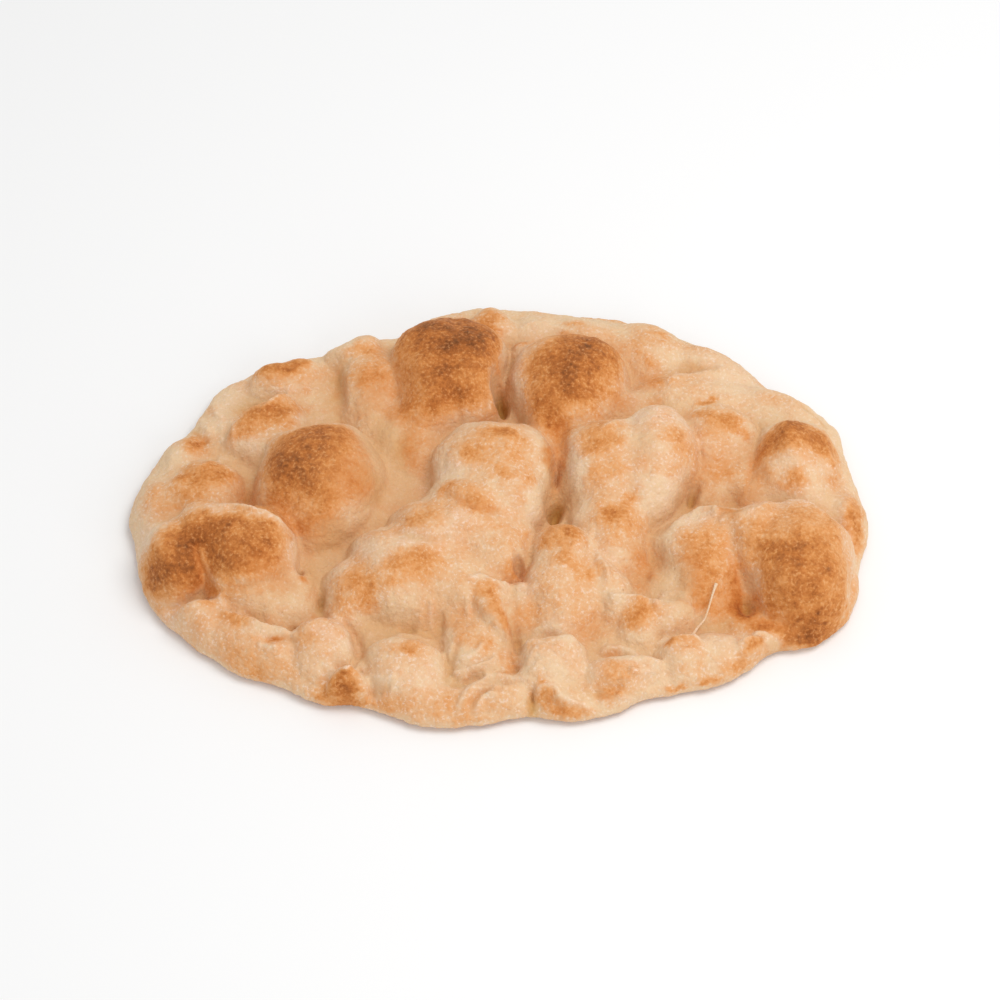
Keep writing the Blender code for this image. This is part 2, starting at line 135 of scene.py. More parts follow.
BLISTERS = {
    # back row
    "back_tall_left": Blister(-25, 74, 25, 42, 22, 0, 32, 0.6),
    "back_tall_left_side": Blister(-12.5, 74, 24, 38, 17.5, 0, 31.5, 0.6),
    "back_left_skirt": Blister(-52, 66, 22, 40, 15, -4, 20),
    "back_tall_left_foot": Blister(-36, 42, 20, 34, 22, -10, 18),
    "back_tall_right": Blister(29.5, 68, 22, 40, 26, 0, 32, 0.6),
    "back_right_spout": Blister(20, 42, 18, 25, 11, 10, 22, 0.6),
    "back_rim_middle": Blister(-2, 97, 13, 18, 13, 0, 20),
    "back_rim_pale": Blister(15, 92, 15, 20, 15, 10, 17),
    "back_gap_knob": Blister(10, 81, 8, 14, 8, 0, 19),
    "back_rim_right": Blister(36, 93, 14, 18, 20, -4, 17),
    "back_rim_far_right": Blister(63, 86, 17, 22, 25, -18, 17),
    "back_right_shoulder": Blister(88, 75, 16, 18, 22, -30, 16),
    "back_right_slope": Blister(84, 59, 14, 26, 30, -8, 18),
    "back_right_edge": Blister(116, 50, 15, 20, 23, -30, 17),
    "back_rim_left": Blister(-60, 84, 11, 18, 14, 15, 18),
    "back_left_edge": Blister(-90, 72, 10, 14, 17, 25, 17),
    "back_left_ridge": Blister(-97, 44, 10, 28, 20, 38, 22),
    "back_right_patch": Blister(92, 42, 12, 34, 18, -30, 21),
    # left end
    "left_tall": Blister(-72, 17, 25, 38, 28, 0, 33, 0.6),
    "left_tall_foot": Blister(-52, 6, 20, 32, 18, 10, 14),
    "left_rim": Blister(-119, 10, 17, 30, 17, 0, 20),
    "left_rim_outer": Blister(-134, -1, 26, 26, 15, 0, 16),
    "left_rim_back": Blister(-129, 28, 13, 14, 13, 30, 15),
    "left_low_inner": Blister(-100, -20, 20, 34, 23, 0, 31, 0.6),
    "left_low_bridge": Blister(-114, -16, 18, 15, 18, 0, 29.5, 0.6),
    "left_low_outer": Blister(-127, -25, 20, 20, 17, 15, 27, 0.5),
    "left_low_foot": Blister(-86, -37, 15, 25, 17, 0, 17),
    "front_left_ridge": Blister(-117, -51, 5, 18, 15, 0, 17),
    "front_left_ridge_middle": Blister(-98, -58, 5, 22, 16, -28, 16.5),
    "front_left_ridge_end": Blister(-84, -64, 5, 20, 12, -18, 15),
    "front_left_knob": Blister(-68, -62, 9, 23, 13, 0, 20),
    "front_left_bead": Blister(-58, -87, 9.5, 11, 9.5, 0, 20.5, 0.6),
    # the long loaf across the middle
    "loaf_back": Blister(0.5, 22, 22, 32, 25.5, 0, 31, 0.6),
    "loaf_back_left": Blister(-9, 21, 21, 30, 19.5, 0, 29.5, 0.6),
    "loaf_middle": Blister(-12, -7, 22, 32, 23, -42, 30, 0.6),
    "loaf_front": Blister(-36, -31, 21, 28, 26, -34, 28, 0.6),
    "loaf_waist": Blister(1, 6, 18, 26, 22, -20, 29.5, 0.6),
    "loaf_neck": Blister(-25, -17, 20, 28, 22, -35, 28.5, 0.6),
    "loaf_left": Blister(-54, -38, 13, 24, 16, -20, 22),
    "loaf_face": Blister(-18, -34, 18, 23, 17, 0, 24),
    "loaf_side": Blister(-2, -16, 20, 26, 19, 0, 26, 0.6),
    "loaf_spur": Blister(-5, -44, 14, 28, 10, 24, 21),
    "loaf_spur_foot": Blister(-12, -55, 12, 16, 13, 0, 14.5),
    # right of the middle
    "right_pale": Blister(65, 29, 22, 40, 18, -14, 31, 0.6),
    "right_pale_left": Blister(46, 25, 20, 35, 24.5, -5, 30, 0.8),
    "right_pale_front": Blister(46, -6, 20, 32, 18, 0, 23),
    "right_pale_behind": Blister(56, 52, 14, 20, 13, 0, 17),
    "middle_peak": Blister(25.5, -22, 12, 28, 15, 0, 26, 0.6),
    "middle_peak_front": Blister(25, -37, 16, 32, 18, 0, 23, 1.0),
    "middle_peak_right": Blister(42, -36, 18, 22, 11, 18, 20, 0.6),
    "spur_saddle": Blister(10, -43, 6, 22, 9, 0, 16),
    "small_golden": Blister(55, -51, 8, 15, 11.5, 0, 17.5, 0.6),
    "small_pale": Blister(68, -49, 7, 14, 11, 0, 17),
    "pinched_tip": Blister(83, -8, 7, 14, 8, 0, 20),
    "right_front_ridge": Blister(81, -19, 16, 36, 19, 0, 22),
    "right_front_flank": Blister(77, -22, 18, 36, 25, 0, 16.5),
    "right_front_saddle": Blister(92, -9, 9, 20, 13, 0, 23),
    "right_front_bridge": Blister(103, -14, 16, 28, 16, 0, 28, 1.0),
    "right_low_tall": Blister(119.5, -23, 24, 36, 22, 0, 31, 0.5),
    "right_low_corner": Blister(126, -38, 20, 21, 15, 10, 28, 0.5),
    "right_low_left": Blister(114, -38, 20, 19, 15, 0, 26, 0.6),
    "right_rim_fill": Blister(132, 3, 18, 20, 14, 0, 15),
    "right_back_flank": Blister(108, 16, 20, 26, 20, 0, 16.5),
    "right_back_foot": Blister(90, 20, 20, 30, 20, 0, 14.5),
    "right_back_tall": Blister(121, 28, 18, 38, 19, 0, 25.5),
    "right_back_crest": Blister(120, 29, 15, 26, 12, 0, 28.5),
    "right_rim": Blister(142, -1, 12, 18, 9, -5, 17),
    # front rim
    "front_middle_left": Blister(-36, -70, 7, 28, 18, 0, 18),
    "front_middle": Blister(-9, -67, 18, 15, 13, 0, 15.5),
    "front_round": Blister(19.5, -70, 8, 22, 17, 0, 20.5),
    "front_right_fold": Blister(48, -76, 5, 18, 17, 0, 17),
    "front_right_arc": Blister(71, -68, 5, 18, 13, 5, 16.5),
    "front_right_middle": Blister(86, -66, 9, 16, 14, 0, 14),
    "front_right_end": Blister(98.5, -64.5, 4, 12, 10, 12, 18),
    "front_roll_left": Blister(-9, -89, 5, 12, 9, 40, 13.5),
    "front_roll": Blister(3, -86, 4.5, 14, 12, 0, 14.5),
    "front_roll_right": Blister(23, -90, 5, 8, 10, -15, 14),
}

# Where a fingertip pressed the dough down, or where blisters leave a gap between them.
# (x, y) is the deepest point. wide and long are half sizes along X and Y before the turn, in degrees.
Hollow = namedtuple("Hollow", "x y wide long turn floor")

HOLLOWS = {
    "behind_loaf": Hollow(1.4, 57, 3.8, 9, -5, 2),
    "between_back_talls": Hollow(5, 72, 2.8, 11, 0, 16),
    "right_of_back_right": Hollow(57, 70, 2.5, 10, -4, 14),
    "right_of_loaf_back": Hollow(22.5, 16, 2.4, 10, 0, 9),
    "right_of_loaf": Hollow(24.5, 1.5, 5, 8, -10, 2),
    "loaf_side": Hollow(7.5, -32, 4, 6, -8, 9.5),
    "right_of_pale": Hollow(81.5, 26, 1.8, 9, -6, 16.5),
    "right_of_pale_front": Hollow(78.5, 7.5, 4.5, 9, -4, 6),
    "left_of_back_right": Hollow(94, 5, 7, 8, 0, 10),
    "left_low_bowl": Hollow(-116, -38, 6, 6, 15, 19),
    "behind_left_ridge": Hollow(-103, 57, 9, 4, 34, 8),
    "left_of_left_tall": Hollow(-101, 7, 4.5, 13, 10, 8),
    "front_of_left_tall": Hollow(-77, -30, 4, 6, 0, 8),
    "left_of_loaf_front": Hollow(-70, -46, 3, 9, -10, 7.5),
    "left_of_knob": Hollow(-79, -58, 3, 3, 0, 6),
    "right_trough": Hollow(62, -26, 7, 13, 0, 10),
    "left_of_right_tall": Hollow(97, -46, 4.5, 8, 0, 5),
    "front_of_right_ridge": Hollow(88, -54, 8, 5, 6, 9.5),
    "front_of_loaf": Hollow(-35, -58, 9, 5, 0, 10.5),
    "front_of_loaf_right": Hollow(-21.5, -58, 3.5, 5, 0, 10.5),
    "front_left_crease_back": Hollow(-19, -73, 2.2, 9, 4, 10),
    "left_of_front_round": Hollow(5.8, -76, 5, 4, 0, 8.5),
    "left_of_front_round_back": Hollow(7.5, -64, 4, 15, -3, 10),
    "front_left_crease": Hollow(-17, -81.5, 4.5, 4, -20, 8.5),
    "left_of_skirt": Hollow(-65, 62, 4.5, 16, 0, 12),
    "left_rim_notch": Hollow(-120, 36, 7, 8, 0, 11.5),
    "front_rim_notch": Hollow(43, -84, 9, 3, 6, 11),
    "between_front_rolls": Hollow(13.5, -88, 2.2, 5, 0, 7.5),
}


# A narrow lip or crease of the skin, drawn from left to right through points of the plan. near is its
# width at the front and far at the back. A crease has a height below 0.
Fold = namedtuple("Fold", "height near far points")

FOLDS = {
    "ridge_lip": Fold(2.2, 4, 1, [
        (-125, -45), (-120, -49), (-114, -47), (-109, -46), (-107, -49), (-105, -52), (-101, -52),
        (-96, -55), (-91, -59), (-85, -59), (-81, -62), (-77, -66),
    ]),
    "ridge_flap": Fold(2.2, 1.2, 1.4, [(-93, -67), (-91, -68), (-88, -69), (-85, -69)]),
    "ridge_flap_crease": Fold(-1.2, 1.2, 1, [(-90, -65), (-86, -65), (-81, -65), (-77, -67)]),
    "knob_crest": Fold(1.4, 3, 1, [
        (-76, -64), (-73, -61), (-69, -57), (-65, -53), (-62, -56), (-59, -58),
    ]),
    "knob_side": Fold(-2.4, 1.5, 1.5, [(-61, -56), (-57, -58), (-54, -64), (-53, -71)]),
    "bead_halo": Fold(1.8, 1, 1.5, [(-66, -81), (-64, -78), (-58, -81), (-53, -74), (-50, -81)]),
    "bead_tail": Fold(2, 1.5, 1.2, [(-51, -80), (-47, -82), (-43, -84), (-39, -83)]),
    "bead_tail_shadow": Fold(-2, 2, 2, [(-50, -85), (-45, -86), (-41, -86)]),
    "front_left_crest": Fold(1.4, 3, 1, [(-42, -65), (-38, -60), (-32, -60), (-28, -62), (-24, -61)]),
    "drip": Fold(2.2, 1.3, 1.3, [(-26, -49), (-26, -52), (-26, -55), (-26, -58)]),
    "drip_left": Fold(-2, 1.8, 1.8, [(-33, -53), (-33, -55), (-33, -58)]),
    "drip_right": Fold(-1.3, 1.6, 1.6, [(-22, -51), (-22, -56), (-23, -60)]),
    "front_left_seam": Fold(-1.4, 1.4, 1.4, [
        (-15, -65), (-17, -71), (-18, -75), (-20, -80), (-19, -84),
    ]),
    "skirt_hem": Fold(2, 2, 1, [(-18, -78), (-13, -78), (-8, -77), (-3, -75), (0, -71)]),
    "skirt_hem_shadow": Fold(-2.2, 1.6, 1.2, [(-19, -83), (-14, -83), (-10, -80), (-5, -79)]),
    "roll_lip": Fold(1.7, 2.2, 1, [
        (-16, -96), (-15, -93), (-13, -88), (-9, -83), (-5, -80), (0, -79), (4, -80), (8, -82),
        (12, -83),
    ]),
    "roll_inner": Fold(-1.8, 1.2, 1.2, [(-11, -95), (-10, -91), (-7, -88), (-3, -87), (2, -87)]),
    "roll_fold": Fold(1.4, 1, 1.5, [(-4, -91), (-3, -88), (0, -86)]),
    "roll_seam": Fold(-1.4, 2.2, 1.6, [(13, -85), (12, -89), (13, -93)]),
    "round_roll_lip": Fold(2.4, 2, 1, [
        (15, -89), (16, -86), (19, -86), (22, -86), (24, -90), (28, -91), (33, -91), (36, -93),
    ]),
    "round_roll_inner": Fold(-1.6, 1.2, 1.2, [(18, -91), (21, -90), (23, -92), (26, -93)]),
    "notch_lip": Fold(1.3, 2.5, 1, [
        (39, -91), (41, -89), (45, -89), (49, -88), (55, -86), (59, -84),
    ]),
    "flap_crest": Fold(1.9, 3, 1, [(39, -68), (42, -66), (47, -66), (52, -68), (57, -74), (62, -74)]),
    "flap_hem": Fold(2.2, 0.9, 1.4, [(63, -73), (61, -77), (58, -79), (54, -80), (50, -80)]),
    "arc_crest": Fold(1.9, 3, 1, [(61, -65), (65, -62), (68, -65), (72, -64), (76, -64), (79, -67)]),
    "end_lip": Fold(2.2, 2.5, 1, [
        (94, -66), (97, -64), (101, -59), (104, -59), (106, -60), (110, -61),
    ]),
    "middle_lip": Fold(2.4, 2.5, 1, [
        (44, -45), (45, -47), (50, -46), (55, -46), (61, -46), (63, -52),
    ]),
    "pale_crest": Fold(1.4, 3, 1, [(62, -47), (65, -42), (69, -42), (73, -44), (75, -49), (78, -53)]),
    "spur_lip": Fold(1.9, 2.5, 1, [(-12, -42), (-7, -39), (-2, -41), (2, -41), (7, -37), (11, -41)]),
    "spur_flap": Fold(2.2, 0.9, 0.9, [(-12, -48), (-12, -50), (-12, -52), (-11, -54)]),
    "round_crest": Fold(1.2, 3, 1, [
        (9, -70), (11, -69), (15, -59), (19, -59), (24, -60), (28, -65), (32, -70),
    ]),
    "round_pleat": Fold(1.2, 1.2, 1.2, [
        (11, -77), (14, -73), (17, -72), (22, -73), (26, -75), (28, -78),
    ]),
    "round_pleat_low": Fold(0.9, 1.2, 1.2, [(13, -81), (16, -78), (20, -77), (24, -78)]),
    "tip_lip": Fold(1.6, 2.5, 1, [(68, -14), (73, -6), (77, -4), (81, -3), (86, -5), (87, -11)]),
    "tip_right_lip": Fold(1.1, 2.5, 1, [(87, -12), (91, -11), (96, -12), (102, -10), (108, -6)]),
    "slope_fold": Fold(1.6, 2.5, 1.6, [(69, 64), (76, 68), (84, 69), (91, 70), (95, 73)]),
    "left_seam": Fold(-1.4, 1.5, 1.5, [(-67, 74), (-65, 66), (-64, 58), (-63, 51)]),
    "left_rim_fold": Fold(1.3, 1.5, 1, [(-122, 68), (-125, 63), (-124, 52), (-120, 44), (-117, 40)]),
    "left_ridge_lip": Fold(1.6, 2.5, 1, [(-97, 45), (-91, 52), (-87, 62), (-81, 64), (-75, 64)]),
    "ridge_back_lip": Fold(1.4, 2, 1, [(-95, 62), (-89, 63), (-83, 65), (-78, 66)]),
    "low_left_rim": Fold(2, 3, 1, [
        (-111, -10), (-104, -9), (-96, -13), (-87, -16), (-81, -18), (-80, -22), (-80, -33),
    ]),
    "low_left_seam": Fold(-2, 1.8, 1.8, [(-119, -26), (-117, -33), (-115, -37), (-111, -42)]),
    "low_left_foot": Fold(-1.8, 1.6, 1.6, [(-107, -44), (-100, -45), (-92, -43), (-83, -38)]),
    "peak_right_lip": Fold(1.6, 2, 1, [(36, -16), (37, -22), (40, -27), (43, -35), (44, -42)]),
    "trough_seam": Fold(-1.6, 1.6, 1.6, [(59, -13), (60, -19), (60, -27), (58, -35)]),
    "right_seam": Fold(-1.4, 1.4, 1.4, [(96, -31), (97, -36), (98, -41)]),
    "right_end_seam": Fold(-1.4, 1.2, 1.2, [(124, 52), (131, 48), (136, 46)]),
    "hooded_seam": Fold(-1.1, 1.5, 1.5, [(104, 29), (103, 18), (101, 10)]),
    "waist": Fold(-1.4, 2.5, 2.5, [(-23, -1), (-15, -8), (-7, -12), (1, -11)]),
    "waist_front": Fold(-0.9, 2.5, 2.5, [(-42, -19), (-34, -24), (-27, -26), (-19, -23)]),
    "roll_pleat": Fold(1.6, 1, 1, [(-9, -95), (-7, -92), (-5, -89), (0, -89)]),
    "low_left_seam_lip": Fold(1.4, 1.2, 1.2, [(-117, -27), (-115, -33), (-112, -39), (-108, -43)]),
    "ridge_slope_lip": Fold(1.2, 2, 1, [(-76, -77), (-71, -78), (-67, -80)]),
    "recess_left": Fold(-1.6, 2, 2, [(-37, -54), (-37, -56), (-35, -59)]),
    "q_upper_hem": Fold(1.5, 1.6, 1, [(-19, -75), (-16, -73), (-12, -73), (-8, -71), (-5, -66)]),
    "saddle_lip": Fold(1.4, 3, 1.5, [(2, -40), (7, -41), (11, -42), (15, -44)]),
    "spur_ridge": Fold(1.4, 1.6, 1.6, [(4, -59), (4, -64), (3, -71), (2, -77)]),
    "spur_edge": Fold(1.4, 1, 1, [(-1, -41), (3, -44), (5, -47), (5, -54)]),
    "round_dome_left": Fold(-1.4, 1.5, 1.5, [(8, -62), (7, -71), (6, -75)]),
    "arc_hem": Fold(1.2, 1.5, 1, [(64, -71), (69, -71), (74, -71), (78, -71)]),
    "end_crease": Fold(-1.6, 1.5, 1.5, [(103, -65), (108, -62), (114, -61)]),
    "rim_right_lip": Fold(1.2, 2, 1, [(80, -75), (87, -73), (93, -71), (98, -69), (104, -64)]),
    "behind_k": Fold(1.2, 2, 1, [(108, -8), (114, -3), (119, -4), (125, -6), (130, -13)]),
    "hood_right": Fold(1, 2, 1, [(133, 26), (136, 21), (138, 16)]),
    "rim_back_fold": Fold(1.2, 2, 1, [(8, 93), (13, 96), (18, 97), (23, 96)]),
    "rim_back_fold_right": Fold(1, 1.6, 1, [(23, 96), (27, 94), (31, 92)]),
    "left_rim_bump": Fold(1.3, 1.2, 1.2, [(-118, 66), (-119, 60), (-117, 52), (-113, 48)]),
    "left_rim_pleat": Fold(1.1, 1, 1, [(-114, 46), (-113, 39), (-113, 34)]),
    "left_rim_pleat_right": Fold(1.1, 1, 1, [(-110, 49), (-108, 36), (-108, 32)]),
    "left_rim_crease": Fold(-1.5, 1.5, 1.5, [(-126, 45), (-122, 39), (-119, 36)]),
    "left_mid_edge": Fold(1.2, 2, 1, [(-123, 16), (-118, 19), (-113, 28), (-107, 26)]),
    "pale_left_lip": Fold(1.2, 2, 1, [(41, 28), (47, 33), (53, 38), (59, 42), (66, 44)]),
    "bowl_line": Fold(0.8, 1.2, 1, [(-119, -27), (-118, -33), (-116, -36), (-112, -41)]),
    "notch_crease": Fold(-1.6, 1.6, 1.2, [(37, -86), (40, -87), (43, -88), (46, -87)]),
    "middle_fold": Fold(1.2, 1.5, 1.2, [(-17, -77), (-12, -77), (-8, -77), (-4, -76), (0, -74)]),
}

# A patch of the skin that is browner, more floury or more golden. (x, y) is its middle. long and wide
# are its half sizes in the plan, along X and Y before the turn, in degrees. drop is how far up and down
# a wall it reaches, or 0 for STEEP_REACH times wide.
Patch = namedtuple("Patch", "x y long wide amount turn drop", defaults=(0, 0))


def patches(*rows):
    return [Patch(*row) for row in rows]


# Where the oven browned the crust, with some patches of painted shade in shaded slots and some below 0
# that are painted light on shaded walls. The amount is from 0, unbaked cream, to 1, nearly burnt, and
# one below 0 takes browning away.
TOASTS_AND_PAINTED_SHADING = patches(
    # back left blister
    (-19, 68, 30, 38, 0.7, 0, 22), (-16, 88, 20, 22, 0.5, 0, 14), (-10, 74, 9, 9, 0.2),
    (-22, 48, 13, 10, 0.14),
    # back right blister and its spout
    (32, 62, 25, 30, 0.68, 0, 22), (35, 73, 17, 12, 0.44, 0, 11), (27, 58, 7, 6, 0.22),
    (21, 42, 8, 12, 0.42), (25, 30, 6, 12, 0.3),
    # left blister
    (-79, 9, 25, 28, 0.66, 0, 22), (-74, 24, 17, 14, 0.44, 0, 12),
    # low blister at the left end
    (-104, -27, 25, 20, 0.68, -8, 20), (-106, -33, 12, 13, 0.24), (-108, -16, 16, 6, 0.16),
    (-133, -36, 15, 14, 0.66, 25, 20), (-119, -23, 12, 8, 0.36, 30), (-141, -36, 8, 10, 0.5, 0, 20),
    (-120, -32, 7, 11, 0.4, 15),
    # right blister
    (121, -44, 28, 32, 0.66, 0, 34), (116, -34, 13, 14, 0.08), (118, -58, 9, 6, 0.56, 15, 60),
    (130, -57, 14, 7, 0.76, 32, 60), (102, -24, 8, 14, 0.24), (118, -12, 16, 8, 0.14),
    # beside it
    (80, -28, 11, 15, 0.4),
    # hooded blister at the right end
    (109, 27, 9, 6, 0.52, 35), (119, 32, 13, 7, 0.6, 5), (131, 27, 9, 7, 0.6, -35),
    (137, 19, 4, 9, 0.34), (107, 18, 5, 9, 0.2), (119, 16, 22, 20, 0.14, 0, 20), (119, 8, 7, 6, 0.42),
    (143, -6, 5, 13, 0.62, 5),
    # right of the long pale blister
    (92, 40, 9, 4, 0.46, -20), (101, 35, 5, 3, 0.36, -30), (86, 53, 4, 2.1, 0.44),
    (84, 45, 9, 4, 0.36, -5), (88, 26, 12, 16, 0.1),
    # left rim and the ridge behind it
    (-93, 44, 21, 9, 0.56, 28), (-82, 63, 6, 3, 0.26), (-89, 74, 14, 6, 0.58, 14),
    (-82, 78, 5, 4, 0.36), (-55, 81, 6, 6, 0.4), (-55, 63, 7, 3, 0.26, 10),
    (-116, 13, 16, 10, 0.48, 18), (-122, 8, 24, 16, 0.16, 10), (-140, 8, 3, 7, 0.2),
    (-147, 31, 4, 13, 0.2), (-119, 55, 4, 3, 0.32),
    # loaf
    (-14, -4, 34, 56, 0.16, -38, 40), (24, -30, 18, 22, 0.1, 0, 30), (2, 25, 8, 3, 0.38, -5),
    (-10, 15, 8, 5, 0.42, -22), (2, 7, 6, 3, 0.38, -32), (-21, 1, 5, 3, 0.36, 20),
    (-9, -9, 8, 5, 0.32), (-28, -15, 8, 6, 0.38, 20), (-33, -36, 12, 6, 0.36), (-55, -36, 4, 8, 0.3),
    (-51, -49, 5, 9, 0.38), (13, 5, 3, 6, 0.22), (-4, -44, 6, 5, 0.38), (-2, -52, 4, 10, 0.42, 35),
    (3, -58, 2, 5, 0.34, 20),
    # right of the middle
    (46, 10, 16, 28, 0.18, 0, 30), (39, 22, 8, 12, 0.12), (28, -22, 8, 5, 0.5),
    (18, -25, 6, 4, 0.36, 30), (33, -37, 7, 6, 0.38, -20), (26, -32, 4, 4, 0.2),
    (45, -10, 5, 4, 0.48, 15), (53, -1, 5, 3, 0.4), (49, -6, 4, 3, 0.26, 30), (45, 22, 6, 4, 0.3, 10),
    (39, 9, 4, 5, 0.24), (47, 10, 5, 4, 0.26, 15), (73, 26, 5, 4, 0.18), (65, 54, 4, 3, 0.14),
    (66, 66, 7, 4, 0.3),
    # back rim
    (65, 74, 4, 3, 0.36, -10), (61, 78, 4, 3, 0.18), (69, 91, 4, 3, 0.38, -15), (-3, 96, 6, 6, 0.22),
    (8, 83, 5, 3, 0.42), (31, 97, 6, 3, 0.36), (46, 106, 10, 1.5, 0.3), (28, 91, 4, 1.5, 0.38),
    # front left
    (-100, -66, 44, 16, 0.26, -22, 30), (-102, -57, 7, 3, 0.36, -10), (-116, -63, 9, 3, 0.32, -36),
    (-91, -77, 4, 2.1, 0.42, -20), (-69, -86, 5, 3, 0.22, -20), (-114, -50, 6, 1.5, 0.22),
    (-85, -66, 4, 1.3, 0.42), (-70, -51, 2, 1.5, 0.28), (-60, -62, 2, 2.1, 0.26),
    (-59.5, -87.5, 9, 7, 0.84, 0, 60), (-77, -36, 2, 1.5, 0.5),
    # soft shades of brown over wider stretches
    (-49, 64, 14, 16, 0.28, 0, 20), (-30, 82, 9, 8, 0.34), (-22, 48, 9, 5, 0.44),
    (-38, 45, 8, 6, 0.4), (-85, 5, 9, 12, 0.24), (-127, -33, 9, 10, 0.26, 20),
    (-28, -42, 14, 7, 0.16), (-5, -15, 8, 9, 0.18), (5, 19, 10, 10, 0.24),
    (48, -20, 14, 18, 0.22, 0, 20), (86, -40, 12, 10, 0.24, 0, 14), (88, 34, 9, 6, 0.26, -20),
    (86, 17, 14, 12, 0.26), (118, 25, 10, 5, 0.3), (-28, -88, 22, 8, 0.18),
    (-8, -96, 42, 9, 0.18, 0, 30), (47, -81, 10, 5, 0.2), (-134, 2, 12, 8, 0.26),
    (-123, 31, 6, 6, 0.34), (51, 84, 10, 8, 0.14), (40, -53, 12, 8, 0.14), (-62, -52, 7, 6, 0.34),
    (-43, -90, 11, 4, 0.24), (-94, -75, 9, 5, 0.24, -30), (78, -77, 10, 5, 0.2, 10),
    # painted shade: (93, -9) beside the pinched tip and (96, -46) down in the slot left of the right
    # blister
    (94, -72, 8, 5, 0.2, 20), (-64, -88, 6, 4, 0.3), (93, -9, 5, 4, 0.3), (96, -46, 6, 7, 1.0),
    # painted shade: (94, -37) in that slot
    (94, -37, 4, 9, 0.4), (84, -44, 10, 6, 0.3), (-120, -39, 6, 6, 0.34), (23, 22, 3, 10, 0.4),
    (54, -80, 14, 7, 0.26), (43, -86, 9, 5, 0.5), (0, 54, 5, 5, 0.6), (32, 50, 8, 5, 0.44),
    # painted shade: (-32, 28) at the foot of the back left blister
    (85, 74, 40, 22, 0.08, -25), (104, -56, 8, 4, 0.56), (-32, 28, 6, 10, 0.24),
    (-90, -28, 10, 8, 0.32), (-113, -41, 7, 4, 0.4), (-88, 68, 14, 10, 0.16, 14),
    (-37, -44, 9, 7, 0.2), (-12, -62, 14, 9, 0.16), (27, -52, 14, 12, 0.12),
    (62, 88, 18, 8, 0.12, -10), (75, 16, 8, 10, 0.12), (62, -22, 6, 9, 0.2), (77, -46, 6, 4, 0.3),
    (6, -34, 6, 5, 0.4), (11, -52, 6, 8, 0.22), (-12, -68, 8, 5, 0.16), (88, -15, 8, 7, 0.18),
    (4, -75, 4, 8, 0.4), (58, -30, 5, 10, 0.3), (-28, 77, 7, 6, 0.3), (-73, 73, 5, 5, 0.2),
    (-124, 36, 4, 5, 0.4), (-100, 5, 5, 6, 0.5), (-81, -15, 5, 4, 0.3), (85, -50, 5, 4, 0.34),
    (-85, -74, 14, 6, 0.14, -22),
    # stayed pale beside a brown stretch, and painted light on shaded slots, walls and creases
    (-86, -62, 8, 4, -0.4), (-55, -66, 5, 5, -0.4), (18, -60, 6, 3, -0.4), (54, -74, 11, 5, -0.4),
    # painted light: (16, -10) and (29, -6) on shaded valley spots right of the loaf
    (99, -37, 3, 9, -0.5, 20), (129, -48, 5, 4, -0.3), (16, -10, 4, 5, -0.6), (29, -6, 5, 4, -0.5),
    (-59, -23, 5, 5, -0.4), (117, 3, 9, 4, -0.5), (-95, -33, 6, 5, -0.3), (139, 21, 4, 5, -0.4),
    (20, 76, 8, 4, -0.4), (-33, -25, 8, 4, -0.3), (-106, -13, 20, 4, -0.5, -3),
    # painted light: (-141, -16) on the shaded left rim, (30, 9) on the slot wall right of the loaf and
    # (6, 78) in the gap between the back blisters
    (-88, -17, 8, 4, -0.5, -25), (-141, -16, 8, 9, -0.6), (30, 9, 5, 14, -0.5), (6, 78, 5, 10, -0.6),
    # painted light: (8, 56) on the wall beside the hole behind the loaf
    (8, 56, 4, 10, -0.6), (109, -61, 4, 4, -0.9), (-24, 10, 14, 10, -0.6), (-13, 34, 13, 8, -0.5),
    # painted light: (70, -9) in the valley beside the pale front blister
    (-78, 46, 10, 5, -0.5, 10), (-107, 56, 9, 5, -0.7), (70, -9, 9, 12, -0.55),
    (-101, 26, 8, 7, -0.65), (-78, 30, 14, 5, -0.4, 10), (-46, 20, 8, 14, -0.3),
    # painted light: (-23, -64) beside the drip, (-19, -76) on the front left seam and (-50, -57) on
    # shaded spots in front of the loaf
    (15, -5, 4, 12, -0.4), (-23, -64, 6, 6, -0.7), (-19, -76, 4, 8, -0.5), (-50, -57, 12, 5, -0.4),
    (58, 40, 14, 8, -0.3, -15),
    # front middle
    (-34, -71, 5, 4, 0.36), (-5, -69, 4, 4, 0.36, -15), (-17, -74, 1, 3, 0.26), (18, -88, 4, 5, 0.44),
    (28, -94, 11, 4, 0.44, -8), (55, -54, 7, 7, 0.42),
    # front right
    (44, -69, 5, 3, 0.28), (67, -66, 7, 2, 0.48, 8), (99, -66, 6, 4, 0.44, -10),
    (98, -70, 13, 7, 0.5, 32), (82, -79, 6, 2.4, 0.62, 12), (70, -82, 5, 2, 0.54, 10),
)
